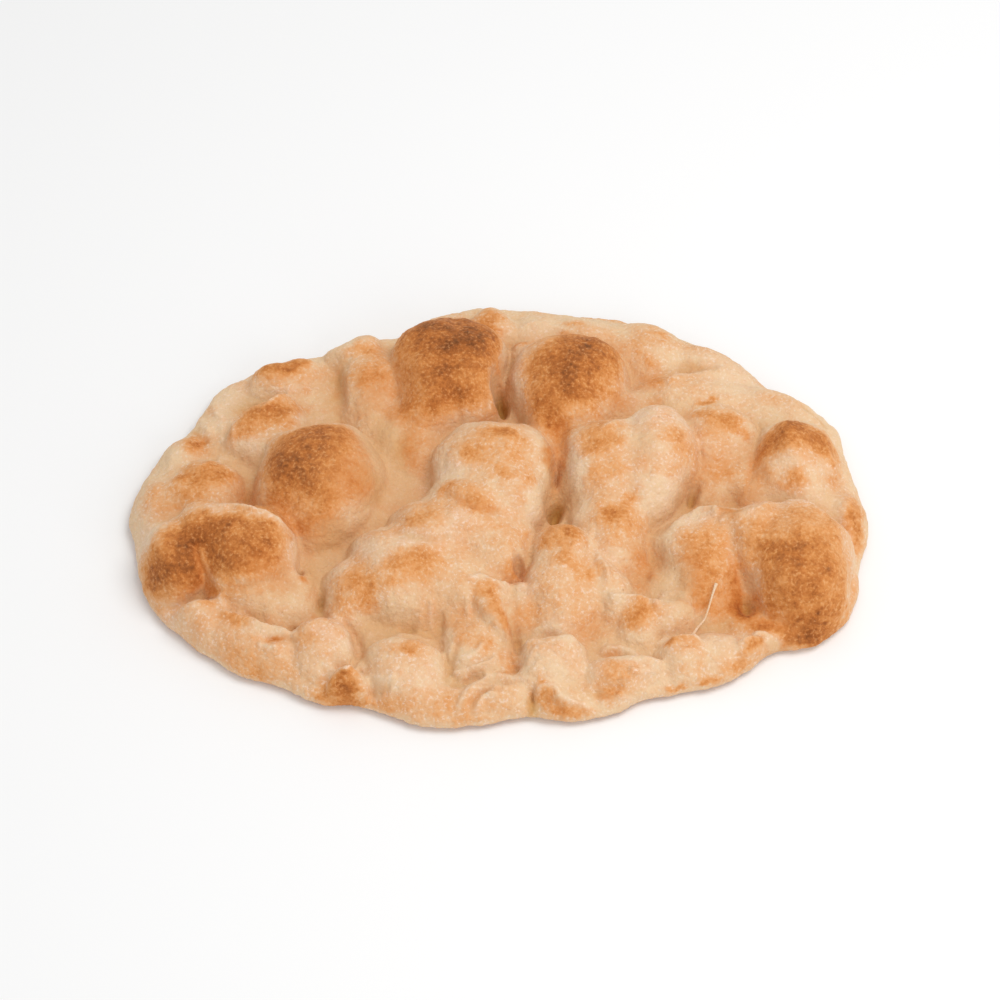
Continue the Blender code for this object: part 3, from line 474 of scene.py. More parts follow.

# Where flour lies thickest, and patches of painted light on shaded gaps, walls and creases.
DUSTINGS_AND_PAINTED_LIGHT = patches(
    (-60, 6, 24, 16, 0.6), (118, -16, 22, 22, 0.5), (128, -38, 10, 14, 0.3), (-22, 12, 14, 6, 0.8),
    (20, -61, 8, 4, 0.8), (-108, 57, 8, 5, 0.7), (111, -61, 7, 3, 0.9, 20), (118, -2, 18, 7, 1.0),
    # painted light: (68, -1) on the shaded crease beside the pale front blister
    (-29, 14, 6, 10, 0.9), (-15, 40, 12, 6, 0.8), (31, 12, 4, 16, 0.9), (68, -1, 7, 10, 0.8),
    # painted light: (7, 72) in the gap between the back blisters
    (7, 72, 6, 16, 0.9), (10, -41, 5, 8, 0.9), (-77, 48, 10, 5, 0.7, 20), (-101, 27, 6, 8, 0.7),
    # painted light: (-140, -16) on the shaded left rim
    (-140, -16, 8, 12, 1.0), (-131, -48, 9, 7, 0.9, -30), (56, 60, 6, 12, 0.7),
    (66, 36, 22, 12, 0.9, -15), (60, 10, 20, 14, 0.45), (-25, -22, 34, 10, 0.8, 25),
    (-55, -26, 12, 10, 0.6, 20), (-106, -12, 26, 4, 0.9, -5), (-81, -24, 5, 14, 0.8),
    (112, -8, 24, 8, 0.9), (82, -10, 14, 7, 0.8), (118, 2, 18, 7, 0.6), (122, 16, 16, 6, 0.5),
    (-66, -62, 12, 12, 0.9), (-100, -62, 30, 8, 0.6, -20), (22, 88, 22, 8, 0.4),
    (100, 72, 20, 16, 0.5, -30), (-110, 55, 8, 18, 0.5, -10), (-140, -8, 8, 18, 0.5),
    # painted light: (16, -10) and (29, -6) on shaded valley spots right of the loaf
    (45, -78, 20, 8, 0.5), (85, -62, 20, 6, 0.5), (16, -10, 5, 6, 0.8), (29, -6, 6, 5, 0.8),
    # painted light: (67, -4) on the crease beside the pale front blister, (8, 53) on the wall by the
    # hole behind the loaf and (-22, -64) beside the drip
    (67, -4, 8, 7, 0.9), (8, 53, 4, 5, 0.9), (-56, -66, 5, 5, 0.8), (-22, -64, 6, 6, 0.8),
    (-30, -84, 24, 10, 0.4), (20, -70, 16, 14, 0.4), (140, -25, 6, 16, 0.5),
    (44, -28, 6, 14, 0.5, 18), (-50, 52, 14, 20, 0.25), (138, 8, 8, 12, 0.3),
)

# Where the dough between the blisters stayed soft and golden, and patches of painted shade.
GOLDEN_AND_PAINTED_SHADE = patches(
    (-48, 30, 12, 34, 0.7, -8), (-52, 52, 12, 18, 0.6), (-52, 6, 16, 12, 0.9, 40),
    # painted shade: (-37, 29) at the foot of the back left blister
    (-37, 29, 8, 14, 0.9, -10), (-66, 66, 5, 16, 0.8), (22, 14, 3, 16, 0.9, 4), (104, 22, 6, 14, 0.6),
    # painted shade: (82, 72) behind the slope fold and (93, -9) beside the pinched tip
    (82, 72, 9, 4, 0.7), (74, -40, 8, 16, 0.6), (93, -9, 6, 4, 0.8), (-69, -15, 16, 7, 0.8),
    (-88, -40, 12, 10, 0.5), (-74, -32, 6, 14, 0.7), (58, 20, 6, 10, 0.3), (-20, -56, 16, 12, 0.4),
    (-44, -58, 14, 8, 0.3), (100, 6, 14, 8, 0.6), (60, -30, 8, 14, 0.6, 10), (6, -60, 4, 16, 0.7),
)

# The dough thread that was drawn out between two blisters at the right: the points it passes through.
THREAD = [
    (85.4, -40.8, 18.2), (84.2, -44.0, 17.4), (83.0, -47.6, 16.2), (82.0, -50.6, 14.6),
    (80.6, -54.0, 12.6), (77.2, -57.6, 11.2), (75.6, -60.4, 10.5),
]


def outline_radius(angle):
    """Distance from the middle of the crust to its rim, by a smooth closed curve through OUTLINE."""
    points = np.array(OUTLINE, float)
    angles = np.unwrap(np.arctan2(points[:, 1], points[:, 0]))
    radii = np.hypot(points[:, 0], points[:, 1])
    turn = 2 * np.pi
    angles = np.concatenate([angles[-2:] - turn, angles, angles[:2] + turn])
    radii = np.concatenate([radii[-2:], radii, radii[:2]])
    angle = (angle - angles[2]) % turn + angles[2]
    left = np.clip(np.searchsorted(angles, angle, side="right") - 1, 1, len(angles) - 3)
    width = angles[left + 1] - angles[left]
    t = (angle - angles[left]) / width
    slope_in = (radii[left + 1] - radii[left - 1]) / (angles[left + 1] - angles[left - 1]) * width
    slope_out = (radii[left + 2] - radii[left]) / (angles[left + 2] - angles[left]) * width
    return (
        radii[left] * (1 + 2 * t) * (1 - t) ** 2
        + slope_in * t * (1 - t) ** 2
        + radii[left + 1] * t * t * (3 - 2 * t)
        + slope_out * t * t * (t - 1)
    )


def waves(x, y, length, phase):
    """Waves of about the given length over the plan, between -1 and 1."""
    turn = 2 * np.pi / length
    return np.sin(turn * x + phase) * np.cos(turn * (y + x / 3) + 2 * phase)


def turned(x, y, piece):
    """How far the point is to the right of the piece's middle and behind it, along its own axes."""
    turn = np.radians(piece.turn)
    aside, behind = x - piece.x, y - piece.y
    return (
        aside * np.cos(turn) + behind * np.sin(turn),
        behind * np.cos(turn) - aside * np.sin(turn),
    )


def blister_top(x, y, blister):
    """A dome's height, and FAR_BELOW outside it. Its back is steep and its front is softer."""
    aside, behind = turned(x, y, blister)
    behind = behind / np.where(behind > 0, blister.back, blister.front)
    reach = np.hypot(behind, aside / blister.half_width)
    frontness = np.clip(-behind / np.maximum(reach, 0.01), 0, 1)
    power = 0.5 + (blister.soft - 0.5) * frontness
    rise = (blister.top - BLISTER_FOOT) * np.maximum(1 - reach**FULLNESS, 0) ** power
    return np.where(reach < 1, BLISTER_FOOT + rise, FAR_BELOW)


def hollow_top(x, y, hollow):
    """A bowl that rises steeply from the hollow's floor."""
    aside, behind = turned(x, y, hollow)
    return hollow.floor + HOLLOW_RISE * ((behind / hollow.long) ** 2 + (aside / hollow.wide) ** 2)


def dough_top(x, y):
    """Height of the top: the highest of slab and blisters, cut down to the hollows."""
    stray_x = WOBBLE * waves(x, y, WOBBLE_LENGTH, 1)
    stray_y = WOBBLE * waves(y, x, WOBBLE_LENGTH, 2)
    x, y = x + stray_x, y + stray_y
    slab = SLAB_THICKNESS + ROLL_HEIGHT * waves(x, y, ROLL_LENGTH, 0)
    raised = np.exp(slab / CREASE)
    for blister in BLISTERS.values():
        raised += np.exp(blister_top(x, y, blister) / CREASE)
    lowered = np.exp(-CREASE * np.log(raised) / HOLLOW_LIP)
    for hollow in HOLLOWS.values():
        lowered += np.exp(-hollow_top(x, y, hollow) / HOLLOW_LIP)
    return -HOLLOW_LIP * np.log(lowered)


def round_edge(t):
    """A quarter circle from 0 to 1."""
    return np.sqrt(1 - (1 - np.clip(t, 0, 1)) ** 2)


def plan_of(grid):
    """The plan of each point of a square grid from -1 to 1, and its distance from the rim."""
    u, v = grid[:, 0], grid[:, 1]
    across, up = u * np.sqrt(1 - v * v / 2), v * np.sqrt(1 - u * u / 2)
    share = np.clip(np.hypot(across, up), 0, 1)
    angle = np.arctan2(up * CRUST_WIDTH, across * CRUST_LENGTH)
    radius = outline_radius(angle)
    x, y = share * radius * np.cos(angle), share * radius * np.sin(angle)
    return x, y, (1 - share) * radius


def fold_reach(x, y, fold):
    """Distance to the fold, how strong it is there, and whether the point lies behind it."""
    starts = np.array(fold.points, float)
    steps = np.diff(starts, axis=0)
    lengths = np.hypot(steps[:, 0], steps[:, 1])
    befores = np.cumsum(lengths) - lengths
    nearest = np.full_like(x, np.inf)
    behind, reached = np.zeros_like(x), np.zeros_like(x)
    for (ax, ay), (dx, dy), length, before in zip(starts, steps, lengths, befores):
        along = np.clip(((x - ax) * dx + (y - ay) * dy) / length**2, 0, 1)
        distance = np.hypot(x - ax - along * dx, y - ay - along * dy)
        closer = distance < nearest
        behind = np.where(closer, dx * (y - ay) - dy * (x - ax), behind)
        reached = np.where(closer, before + along * length, reached)
        nearest = np.minimum(nearest, distance)
    share = reached / lengths.sum()
    return nearest, round_edge(np.minimum(share, 1 - share) / FOLD_TAPER), behind > 0


def fold_relief(x, y):
    """How far the lips and creases of the skin lift or lower the top."""
    relief = np.zeros_like(x)
    for fold in FOLDS.values():
        nearest, taper, behind = fold_reach(x, y, fold)
        width = np.where(behind, fold.far, fold.near)
        relief += fold.height * taper * np.exp(-((nearest / width) ** 2))
    return relief


def top_height(x, y, inset):
    """Height of the top at points that lie inset from the rim."""
    back_share = y / CRUST_WIDTH + 0.5
    rim_round = RIM_ROUND_FRONT + (RIM_ROUND_BACK - RIM_ROUND_FRONT) * back_share
    height = dough_top(x, y) + fold_relief(x, y)
    return RIM_EQUATOR + (height - RIM_EQUATOR) * round_edge(inset / rim_round)


def blurred(grid, reach):
    """The grid blurred by a bell curve that is reach cells wide."""
    steps = np.arange(-3 * reach, 3 * reach + 1)
    bell = np.exp(-((steps / reach) ** 2) / 2)
    for axis in (0, 1):
        grid = np.apply_along_axis(np.convolve, axis, grid, bell / bell.sum(), "same")
    return grid


def height_map():
    """Heights over a square of 1 mm cells, and which cells the crust covers."""
    line = np.arange(-MAP_HALF, MAP_HALF + 1.0)
    x, y = np.meshgrid(line, line)
    inset = outline_radius(np.arctan2(y, x)) - np.hypot(x, y)
    return np.where(inset > 0, top_height(x, y, np.maximum(inset, 0)), 0), inset > 0


def read_map(grid, x, y):
    """The map's value at each point of the plan."""
    column, row = x + MAP_HALF, y + MAP_HALF
    left, low = np.floor(column).astype(int), np.floor(row).astype(int)
    right_share, up_share = column - left, row - low
    lower = grid[low, left] * (1 - right_share) + grid[low, left + 1] * right_share
    upper = grid[low + 1, left] * (1 - right_share) + grid[low + 1, left + 1] * right_share
    return lower * (1 - up_share) + upper * up_share


def height_around(heights, inside, points, reach):
    """The mean height of the top within about reach of each point."""
    means = blurred(heights, reach) / np.maximum(blurred(inside.astype(float), reach), 0.01)
    return read_map(means, points[:, 0], points[:, 1])


def coarse_solid():
    """Points and faces of the whole crust: its top, its rounded rim and its flat underside."""
    line = np.linspace(-1, 1, PLAN_CELLS + 1)
    v, u = np.meshgrid(line, line, indexing="ij")
    x, y, inset = plan_of(np.stack([u.ravel(), v.ravel()], 1))
    top = np.stack([x, y, top_height(x, y, inset)], 1)

    index = np.arange(len(top)).reshape(PLAN_CELLS + 1, -1)
    cells = np.stack([index[:-1, :-1], index[:-1, 1:], index[1:, 1:], index[1:, :-1]], -1)
    faces = cells.reshape(-1, 4).tolist()
    rim = np.concatenate([index[0, :-1], index[:-1, -1], index[-1, :0:-1], index[:0:-1, 0]])

    points, ring_points, ring = [top], top[rim], rim
    for step in range(1, UNDER_RINGS + 1):
        angle = np.pi / 2 * step / UNDER_RINGS
        last_angle = angle - np.pi / 2 / UNDER_RINGS
        step_in = UNDERSIDE_ROUND * (np.cos(last_angle) - np.cos(angle))
        away = ring_points[:, :2] / np.linalg.norm(ring_points[:, :2], axis=1, keepdims=True)
        ring_points = ring_points.copy()
        ring_points[:, :2] -= away * step_in
        ring_points[:, 2] = RIM_EQUATOR * (1 - np.sin(angle))
        next_ring = sum(len(p) for p in points) + np.arange(len(rim))
        points.append(ring_points)
        faces += np.stack(
            [np.roll(ring, -1), ring, next_ring, np.roll(next_ring, -1)], -1
        ).tolist()
        ring = next_ring
    faces.append(ring[::-1].tolist())
    return np.concatenate(points), faces


def read_vectors(mesh, name):
    """One row for each of the mesh's points, which are named "co", or of their normals, "normal"."""
    values = np.empty(len(mesh.vertices) * 3, np.float32)
    mesh.vertices.foreach_get(name, values)
    return values.reshape(-1, 3).astype(float)


def write_points(mesh, points):
    mesh.vertices.foreach_set("co", points.astype(np.float32).ravel())
    mesh.update()


def settled(obj):
    """The object's mesh with its modifiers worked in."""
    graph = bpy.context.evaluated_depsgraph_get()
    mesh = bpy.data.meshes.new_from_object(obj.evaluated_get(graph))
    obj.modifiers.clear()
    old, obj.data = obj.data, mesh
    bpy.data.meshes.remove(old)
    return mesh


def even_mesh(crust):
    """Lays an even mesh over the solid, so that steep walls carry as much detail as flat dough."""
    even = crust.modifiers.new("even", "REMESH")
    even.mode = "VOXEL"
    even.voxel_size = VOXEL
    soften = crust.modifiers.new("soften", "SMOOTH")
    soften.factor = 0.5
    soften.iterations = 1
    mesh = settled(crust)
    under = crust.vertex_groups.new(name="underside")
    low = np.flatnonzero(read_vectors(mesh, "co")[:, 2] < FLAT_BELOW)
    under.add(low.tolist(), 1.0, "REPLACE")
    low_share = len(low) / len(mesh.vertices)
    thin = crust.modifiers.new("thin", "DECIMATE")
    thin.ratio = 1 - low_share * (1 - UNDERSIDE_SHARE)
    thin.vertex_group = "underside"
    thin.vertex_group_factor = 1000
    mesh = settled(crust)
    crust.vertex_groups.clear()
    return mesh


def thinned_mesh(crust):
    """Takes faces away where the surface is smooth."""
    faces = sum(len(polygon.vertices) - 2 for polygon in crust.data.polygons)
    thin = crust.modifiers.new("thin", "DECIMATE")
    thin.ratio = min(1.0, MOST_FACES / faces)
    return settled(crust)


def cloud(points, size, octaves, seed=0.0):
    """Soft noise at each point, about -1 to 1. size is the size of its blobs."""
    spots = (points / size + seed).tolist()
    return np.array([noise.fractal(spot, 0.7, 2.0, octaves) for spot in spots])


def smooth_step(low, high, value):
    t = np.clip((value - low) / (high - low), 0, 1)
    return t * t * (3 - 2 * t)


def patch_share(points, patch, middle=None):
    """1 within a patch, fading to 0 past its edge. middle is its middle's height, if that counts."""
    aside, behind = turned(points[:, 0], points[:, 1], patch)
    reach = (aside / patch.long) ** 2 + (behind / patch.wide) ** 2
    if middle is not None:
        reach += ((points[:, 2] - middle) / (patch.drop or STEEP_REACH * patch.wide)) ** 2
    return 1 - smooth_step(PATCH_CORE, PATCH_EDGE, np.sqrt(reach))


def add_relief(mesh):
    """Lumps, wrinkles, pleats and grain, along the surface's own normals."""
    points, normals = read_vectors(mesh, "co"), read_vectors(mesh, "normal")
    steep = 1 - np.clip(normals[:, 2], 0, 1)
    upper = smooth_step(*RELIEF_FADE, points[:, 2])
    lumps = cloud(points, 12.0, 2)
    wrinkles = 1 - 2 * np.abs(cloud(points, 6.0, 3, 40.0)) ** 0.7
    pleats = cloud(points * (1, 0.14, 0.14), 2.4, 2, 80.0)
    grain = cloud(points, 1.7, 1, 120.0)
    move = LUMPS * lumps + WRINKLES * wrinkles + PLEATS * pleats * (0.25 + steep) + GRAIN * grain
    points += normals * (move * upper)[:, None]
    under = (1 - upper) * np.clip(-normals[:, 2], 0, 1)
    points[:, 2] += UNDERSIDE_RELIEF * under * np.clip(0.5 + cloud(points, 7.0, 2, 160.0), 0, 2)
    write_points(mesh, points)


def store(mesh, name, values):
    attribute = mesh.attributes.new(name, "FLOAT", "POINT")
    attribute.data.foreach_set("value", values.astype(np.float32))


def fold_tints(points):
    """How near each point is to a raised lip, which stays pale, and to a crease, which gets painted
    shade.
    """
    lip, crease = np.zeros(len(points)), np.zeros(len(points))
    for fold in FOLDS.values():
        nearest, taper = fold_reach(points[:, 0], points[:, 1], fold)[:2]
        if fold.height > 0:
            strength = taper * min(1, fold.height / 2)
            lip = np.maximum(lip, strength * np.exp(-((nearest / LIP_PALE) ** 2)))
        else:
            crease = np.maximum(crease, taper * np.exp(-((nearest / CREASE_SHADE_REACH) ** 2)))
    return lip, crease


def add_baking(mesh):
    """Stores how brown and floury each point is, and how far down, in a hole or on the underside. The
    material paints shade where a point is down or in a hole.
    """
    points, normals = read_vectors(mesh, "co"), read_vectors(mesh, "normal")
    heights, inside = height_map()
    strayed = points.copy()
    for axis in (0, 1):
        for distance, size, octaves, seed in STRAYS:
            strayed[:, axis] += distance * cloud(points, size, octaves, seed + 20 * axis)
    x, y, z = points.T
    inner = smooth_step(*INNER, outline_radius(np.arctan2(y, x)) - np.hypot(x, y))

    pale = np.ones(len(points))
    for patch in TOASTS_AND_PAINTED_SHADING:
        middle = read_map(heights, np.array([patch.x]), np.array([patch.y]))[0]
        pale *= 1 - patch.amount * patch_share(strayed, patch, middle)
    crest = smooth_step(0.0, 5.5, z - height_around(heights, inside, points, CREST_REACH)) * inner
    streaks = 0.5 + 0.9 * cloud(points * (0.45, 1.1, 1), 9.0, 3, 30.0)
    toast = 1 - pale * (1 - CREST_TOAST * crest * np.clip(streaks, 0, 1))
    blush = cloud(points * (0.55, 1, 1), 16.0, 4, 50.0)
    toast += (BLUSH_TOAST + BLUSH_SWAY * blush) * (1 - toast)
    upright = smooth_step(-0.5, -0.12, -normals[:, 2])
    toast *= 1 - WALL_PALE * (1 - np.clip(toast, 0, 1) ** 3) * upright
    lip, crease = fold_tints(points)
    valley = smooth_step(-1.0, 6.0, height_around(heights, inside, points, VALLEY_REACH) - z)
    crevice = smooth_step(0.6, 5.0, height_around(heights, inside, points, CREVICE_REACH) - z) * inner
    hole = np.zeros(len(points))
    for hollow in HOLLOWS.values():
        aside, behind = turned(x, y, hollow)
        reach = np.hypot(aside / hollow.wide, behind / hollow.long)
        hole = np.maximum(hole, (1 - smooth_step(0.3, 1.8, reach)) * (1 - smooth_step(4, 12, z)))
    toast *= (1 - LIP_LOSS * lip) * (1 - CREVICE_LOSS * crevice) * (1 - HOLE_LOSS * hole)

    floury = CREST_FLOUR * crest
    for patch in DUSTINGS_AND_PAINTED_LIGHT:
        floury = np.maximum(floury, patch.amount * patch_share(strayed, patch))
    floury = np.maximum(floury, LIP_FLOUR * lip)
    # valleys and creases get the dough's golden colour and painted shade
    low = np.maximum(VALLEY_GOLD_AND_SHADE * valley, CREASE_GOLD_AND_SHADE * crease)
    for patch in GOLDEN_AND_PAINTED_SHADE:
        low = np.maximum(low, patch.amount * patch_share(strayed, patch))

    below = smooth_step(0.2, 0.8, -normals[:, 2])
    toast = toast * (1 - below) + TOAST_BELOW * below
    # toast also carries the painted shade and painted light of some patches
    store(mesh, "toast", np.clip(toast, 0, 1))
    # floury also carries the painted light of some dusting patches
    store(mesh, "floury", floury * (1 - below) + FLOUR_BELOW * below)
    # low and hole set where the material paints shade between the blisters and in the holes; low also
    # carries the golden colour
    store(mesh, "low", np.clip(low, 0, 1) * np.maximum(inner, crease) * (1 - below))
    store(mesh, "hole", hole * (1 - below))
    store(mesh, "below", below)


def thread_mesh(mesh, points):
    """A closed tube through the points, thin in its middle and wider where it joins the dough."""
    points = np.array(points, float)
    steps = np.linspace(0, len(points) - 1, THREAD_STEPS * (len(points) - 1) + 1)
    middle = np.stack([np.interp(steps, range(len(points)), points[:, k]) for k in range(3)], 1)
    for _ in range(4):
        middle[1:-1] = (middle[:-2] + 2 * middle[1:-1] + middle[2:]) / 4
    rings = []
    for step, point in enumerate(middle):
        along = middle[min(step + 1, len(middle) - 1)] - middle[max(step - 1, 0)]
        side = np.cross(along, (0, 0, 1))
        side /= np.linalg.norm(side)
        up = np.cross(side, along)
        up /= np.linalg.norm(up)
        share = 2 * step / (len(middle) - 1) - 1
        radius = THREAD_RADIUS * (0.75 + 0.9 * share**4 + 0.15 * np.sin(3 * step))
        turns = np.linspace(0, 2 * np.pi, THREAD_SIDES, endpoint=False)
        rings.append(
            [mesh.verts.new(point + radius * (side * np.cos(t) + up * np.sin(t))) for t in turns]
        )
    for first, second in zip(rings, rings[1:]):
        for k in range(THREAD_SIDES):
            mesh.faces.new((first[k - 1], first[k], second[k], second[k - 1]))
    mesh.faces.new(rings[0][::-1])
    mesh.faces.new(rings[-1])


def new_object(name, mesh):
    obj = bpy.data.objects.new(name, mesh)
    bpy.context.scene.collection.objects.link(obj)
    return obj


def linear(red, green, blue):
    """A colour of the screen as the shader's own numbers."""
    parts = np.array([red, green, blue]) / 255
    parts = np.where(parts < 0.04045, parts / 12.92, ((parts + 0.055) / 1.055) ** 2.4)
    return (*parts.tolist(), 1.0)


# From unbaked to nearly burnt, by the toast that each one stands for
BROWNING = {
    0.00: linear(227, 196, 159),
    0.17: linear(225, 183, 142),
    0.42: linear(220, 157, 100),
    0.58: linear(205, 134, 72),
    0.72: linear(182, 109, 51),
    0.86: linear(150, 85, 38),
    1.00: linear(110, 62, 29),
}
FLOUR = linear(240, 215, 197)
BROWN_FLOUR = linear(226, 176, 122)  # flour that browned with the dough under it
GOLD_AND_SHADE_TINT = linear(234, 206, 168)  # what the dough down between the blisters is multiplied by: its golden colour and painted shade
# painted shade: what the dough down in the holes is multiplied by
HOLE_SHADE_TINT = linear(232, 216, 166)


class Nodes:
    """A short way to lay out a material's nodes."""

    def __init__(self, tree):
        self.tree = tree

    def add(self, kind, inputs=(), **settings):
        node = self.tree.nodes.new(kind)
        for name, value in settings.items():
            setattr(node, name, value)
        for name, value in dict(inputs).items():
            if isinstance(value, bpy.types.NodeSocket):
                self.tree.links.new(value, node.inputs[name])
            else:
                node.inputs[name].default_value = value
        return node

    def math(self, operation, first, second=0.0, third=0.0, clamp=False):
        node = self.add("ShaderNodeMath", {0: first, 1: second, 2: third}, operation=operation)
        node.use_clamp = clamp
        return node.outputs[0]

    def noise(self, place, size, detail, roughness):
        """Noise whose blobs are about size metres across."""
        inputs = {"Vector": place, "Scale": 1 / size, "Detail": detail, "Roughness": roughness}
        return self.add("ShaderNodeTexNoise", inputs).outputs["Fac"]

    def sway(self, noise, strength):
        """The noise's distance from its middle, times strength."""
        return self.math("MULTIPLY", self.math("SUBTRACT", noise, 0.5), strength)

    def spread(self, value, low, high, to_low=0.0, to_high=1.0):
        inputs = {"Value": value, 1: low, 2: high, 3: to_low, 4: to_high}
        return self.add("ShaderNodeMapRange", inputs, interpolation_type="SMOOTHSTEP").outputs[0]

    def mix(self, share, first, second, blend="MIX"):
        """Two colours mixed. The node's sockets 6 and 7 are its colours, and 2 is the mixed one."""
        inputs = {0: share, 6: first, 7: second}
        return self.add("ShaderNodeMix", inputs, data_type="RGBA", blend_type=blend).outputs[2]

    def attribute(self, name):
        return self.add("ShaderNodeAttribute", attribute_name=name).outputs["Fac"]


def dough_material():
    """Baked dough: browned by its toast, dusted with flour, and fine-grained."""
    material = bpy.data.materials.new("baked_dough")
    material.use_nodes = True
    tree = material.node_tree
    nodes = Nodes(tree)
    surface = tree.nodes["Principled BSDF"]
    place = nodes.add("ShaderNodeTexCoord").outputs["Object"]
    toast, floury, low = nodes.attribute("toast"), nodes.attribute("floury"), nodes.attribute("low")

    fine = nodes.noise(place, 0.0013, 2, 0.6)
    grain = nodes.noise(place, 0.0022, 3, 0.6)
    dots = nodes.add("ShaderNodeTexVoronoi", {"Vector": place, "Scale": 750.0}).outputs["Distance"]
    medium = nodes.noise(place, 0.0042, 4, 0.6)
    broad = nodes.noise(place, 0.012, 4, 0.55)

    # browning, broken up by grain and by cloudy patches
    sway = nodes.math("ADD", nodes.sway(grain, 0.45), nodes.sway(fine, 0.50))
    sway = nodes.math("ADD", sway, nodes.sway(medium, 0.50))
    strength = nodes.spread(toast, 0.0, 0.35, 0.5, 0.8)
    strength = nodes.math("MULTIPLY", strength, nodes.spread(low, 0.0, 0.9, 1.0, 0.6))
    browned = nodes.math("MULTIPLY_ADD", sway, strength, toast)
    browned = nodes.math("ADD", browned, nodes.sway(broad, 0.55))
    tray = nodes.noise(place, 0.030, 4, 0.6)  # the underside browned where the tray was hottest
    tray_sway = nodes.sway(tray, nodes.attribute("below"))
    browned = nodes.math("MULTIPLY_ADD", tray_sway, 1.3, browned)
    ramp = nodes.add("ShaderNodeValToRGB", {"Fac": browned})
    stops = ramp.color_ramp.elements
    while len(stops) < len(BROWNING):
        stops.new(0.5)
    for stop, (position, colour) in zip(stops, BROWNING.items()):
        stop.position = position
        stop.color = colour

    # flour in grains and cloudy patches
    dust = nodes.math("MULTIPLY", floury, nodes.spread(medium, 0.34, 0.62, 0.3, 1.0))
    grains = nodes.math("MULTIPLY", nodes.spread(grain, 0.40, 0.62), nodes.spread(dots, 0.50, 0.25))
    dust = nodes.math("MULTIPLY", dust, nodes.math("MULTIPLY_ADD", grains, 0.60, 0.25))
    stray = nodes.spread(low, 0.0, 0.8, 0.5, 0.2)
    stray = nodes.math("MULTIPLY", nodes.spread(fine, 0.44, 0.32), stray)
    dust = nodes.math("ADD", dust, stray)
    dust = nodes.math("MULTIPLY", dust, nodes.spread(toast, 0.30, 0.80, 1.0, 0.5), clamp=True)
    flour = nodes.mix(nodes.spread(toast, 0.15, 0.6), FLOUR, BROWN_FLOUR)
    colour = nodes.mix(dust, ramp.outputs[0], flour)

    # golden dough and painted shade between the blisters, and painted shade down in the holes
    for share, tint in ((low, GOLD_AND_SHADE_TINT), (nodes.attribute("hole"), HOLE_SHADE_TINT)):
        tinted = nodes.mix(1.0, colour, tint, "MULTIPLY")
        colour = nodes.mix(share, colour, tinted)

    relief = nodes.math("MULTIPLY_ADD", grain, 1.4, nodes.math("MULTIPLY", medium, 1.1))
    relief = nodes.math("MULTIPLY_ADD", fine, 0.6, relief)
    bump = nodes.add("ShaderNodeBump", {"Height": relief, "Strength": 0.8, "Distance": 0.0006})
    tree.links.new(colour, surface.inputs["Base Color"])
    tree.links.new(nodes.spread(fine, 0.3, 0.7, 0.68, 0.90), surface.inputs["Roughness"])
    tree.links.new(bump.outputs[0], surface.inputs["Normal"])
    settings = {
        "Specular IOR Level": 0.15,
        "Sheen Weight": 0.12,
        "Sheen Roughness": 0.5,
        "Sheen Tint": linear(250, 225, 195),
        "Subsurface Weight": 0.10,
        "Subsurface Radius": (1.0, 0.75, 0.50),
        "Subsurface Scale": 0.002,
    }
    for name, value in settings.items():
        surface.inputs[name].default_value = value
    return material


def make_crust(dough):
    """The crust and the dough thread on it, in the frame."""
    solid_points, faces = coarse_solid()
    low, high = solid_points[:, :2].min(0), solid_points[:, :2].max(0)
    fit = np.array([CRUST_LENGTH, CRUST_WIDTH]) / (high - low)

    mesh = bpy.data.meshes.new("crust_top")
    mesh.from_pydata(solid_points.tolist(), [], faces)
    crust = new_object("crust_top", mesh)
    add_relief(even_mesh(crust))
    mesh = thinned_mesh(crust)
    mesh.name = "crust_top"
    add_baking(mesh)

    tube = bmesh.new()
    thread_mesh(tube, THREAD)
    threads_mesh = bpy.data.meshes.new("dough_threads")
    tube.to_mesh(threads_mesh)
    tube.free()
    threads = new_object("dough_threads", threads_mesh)
    for name, value in (("toast", THREAD_TOAST), ("floury", THREAD_FLOUR)):
        store(threads_mesh, name, np.full(len(threads_mesh.vertices), value))

    for piece in (crust, threads):
        points = read_vectors(piece.data, "co")
        points[:, :2] = (points[:, :2] - (low + high) / 2) * fit
        write_points(piece.data, points * MM)
        piece.data.shade_smooth()
        piece.data.materials.append(dough)
        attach(piece, "root")
    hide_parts("crust")


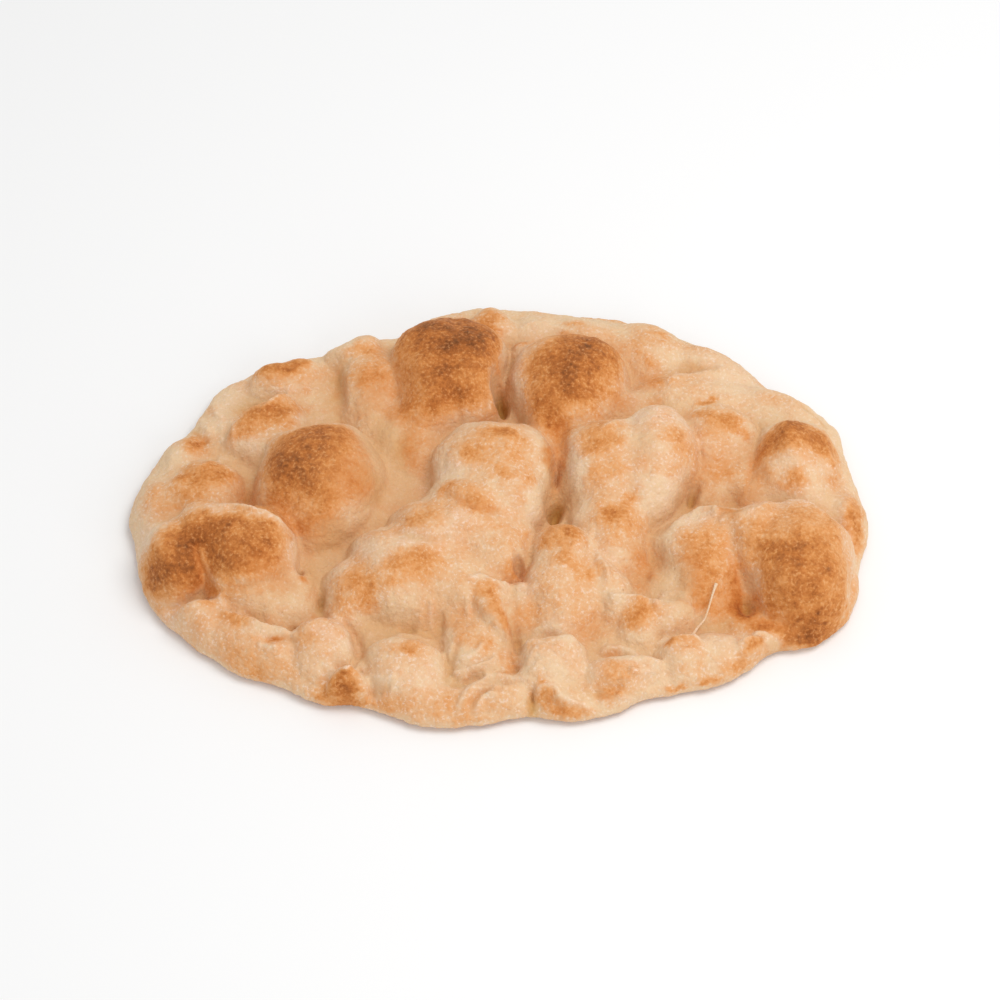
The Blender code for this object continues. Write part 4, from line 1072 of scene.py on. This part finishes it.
def aim(obj, place, target):
    obj.location = place
    away = Vector(place) - Vector(target)
    obj.rotation_mode = "QUATERNION"
    obj.rotation_quaternion = away.to_track_quat("Z", "Y")


def soft_light(name, place, size, power, colour):
    light = bpy.data.lights.new(name, "AREA")
    light.shape = "DISK"
    light.size = size
    light.energy = power
    light.color = colour
    lamp = new_object(name, light)
    aim(lamp, place, (0, 0, 0.01))


def make_floor():
    """A plain pale floor."""
    floor_mesh = bpy.data.meshes.new("floor")
    corners = [(-1, -1), (1, -1), (1, 1), (-1, 1)]
    floor_mesh.from_pydata([(FLOOR_HALF * x, FLOOR_HALF * y, 0) for x, y in corners], [], [range(4)])
    floor = new_object("floor", floor_mesh)
    floor.location.z = -FLOOR_GAP
    material = bpy.data.materials.new("floor")
    material.use_nodes = True
    surface = material.node_tree.nodes["Principled BSDF"]
    surface.inputs["Base Color"].default_value = (0.90, 0.915, 0.935, 1)
    surface.inputs["Roughness"].default_value = 0.9
    surface.inputs["Specular IOR Level"].default_value = 0.0
    floor_mesh.materials.append(material)


def make_light():
    """A bright, even studio: white from all round, and a large soft light above and a little behind."""
    world = bpy.data.worlds.new("studio")
    bpy.context.scene.world = world
    world.use_nodes = True
    back = world.node_tree.nodes["Background"]
    back.inputs["Color"].default_value = (1.0, 0.985, 0.965, 1)
    back.inputs["Strength"].default_value = 0.70
    soft_light("light_above", (0.42, 0.0, 1.10), 0.7, 5.6, (1.0, 0.98, 0.95))
    soft_light("light_front", (0.6, -1.0, 0.6), 0.9, 2.8, (1.0, 0.97, 0.94))


def make_camera():
    """Looks down along +Y at the photo's angle, from the photo's distance."""
    camera_data = bpy.data.cameras.new("camera")
    camera_data.lens = 100
    camera_data.sensor_width = 36
    camera_data.clip_start = 0.01
    camera = new_object("camera", camera_data)
    elevation = np.radians(CAMERA_ELEVATION)
    back = np.array([0, -np.cos(elevation), np.sin(elevation)])
    aim(camera, (np.array(CAMERA_TARGET) + CAMERA_DISTANCE * back).tolist(), CAMERA_TARGET)
    bpy.context.scene.camera = camera


make_crust(dough_material())
make_floor()
make_light()
make_camera()
bpy.context.scene.view_settings.view_transform = "Standard"
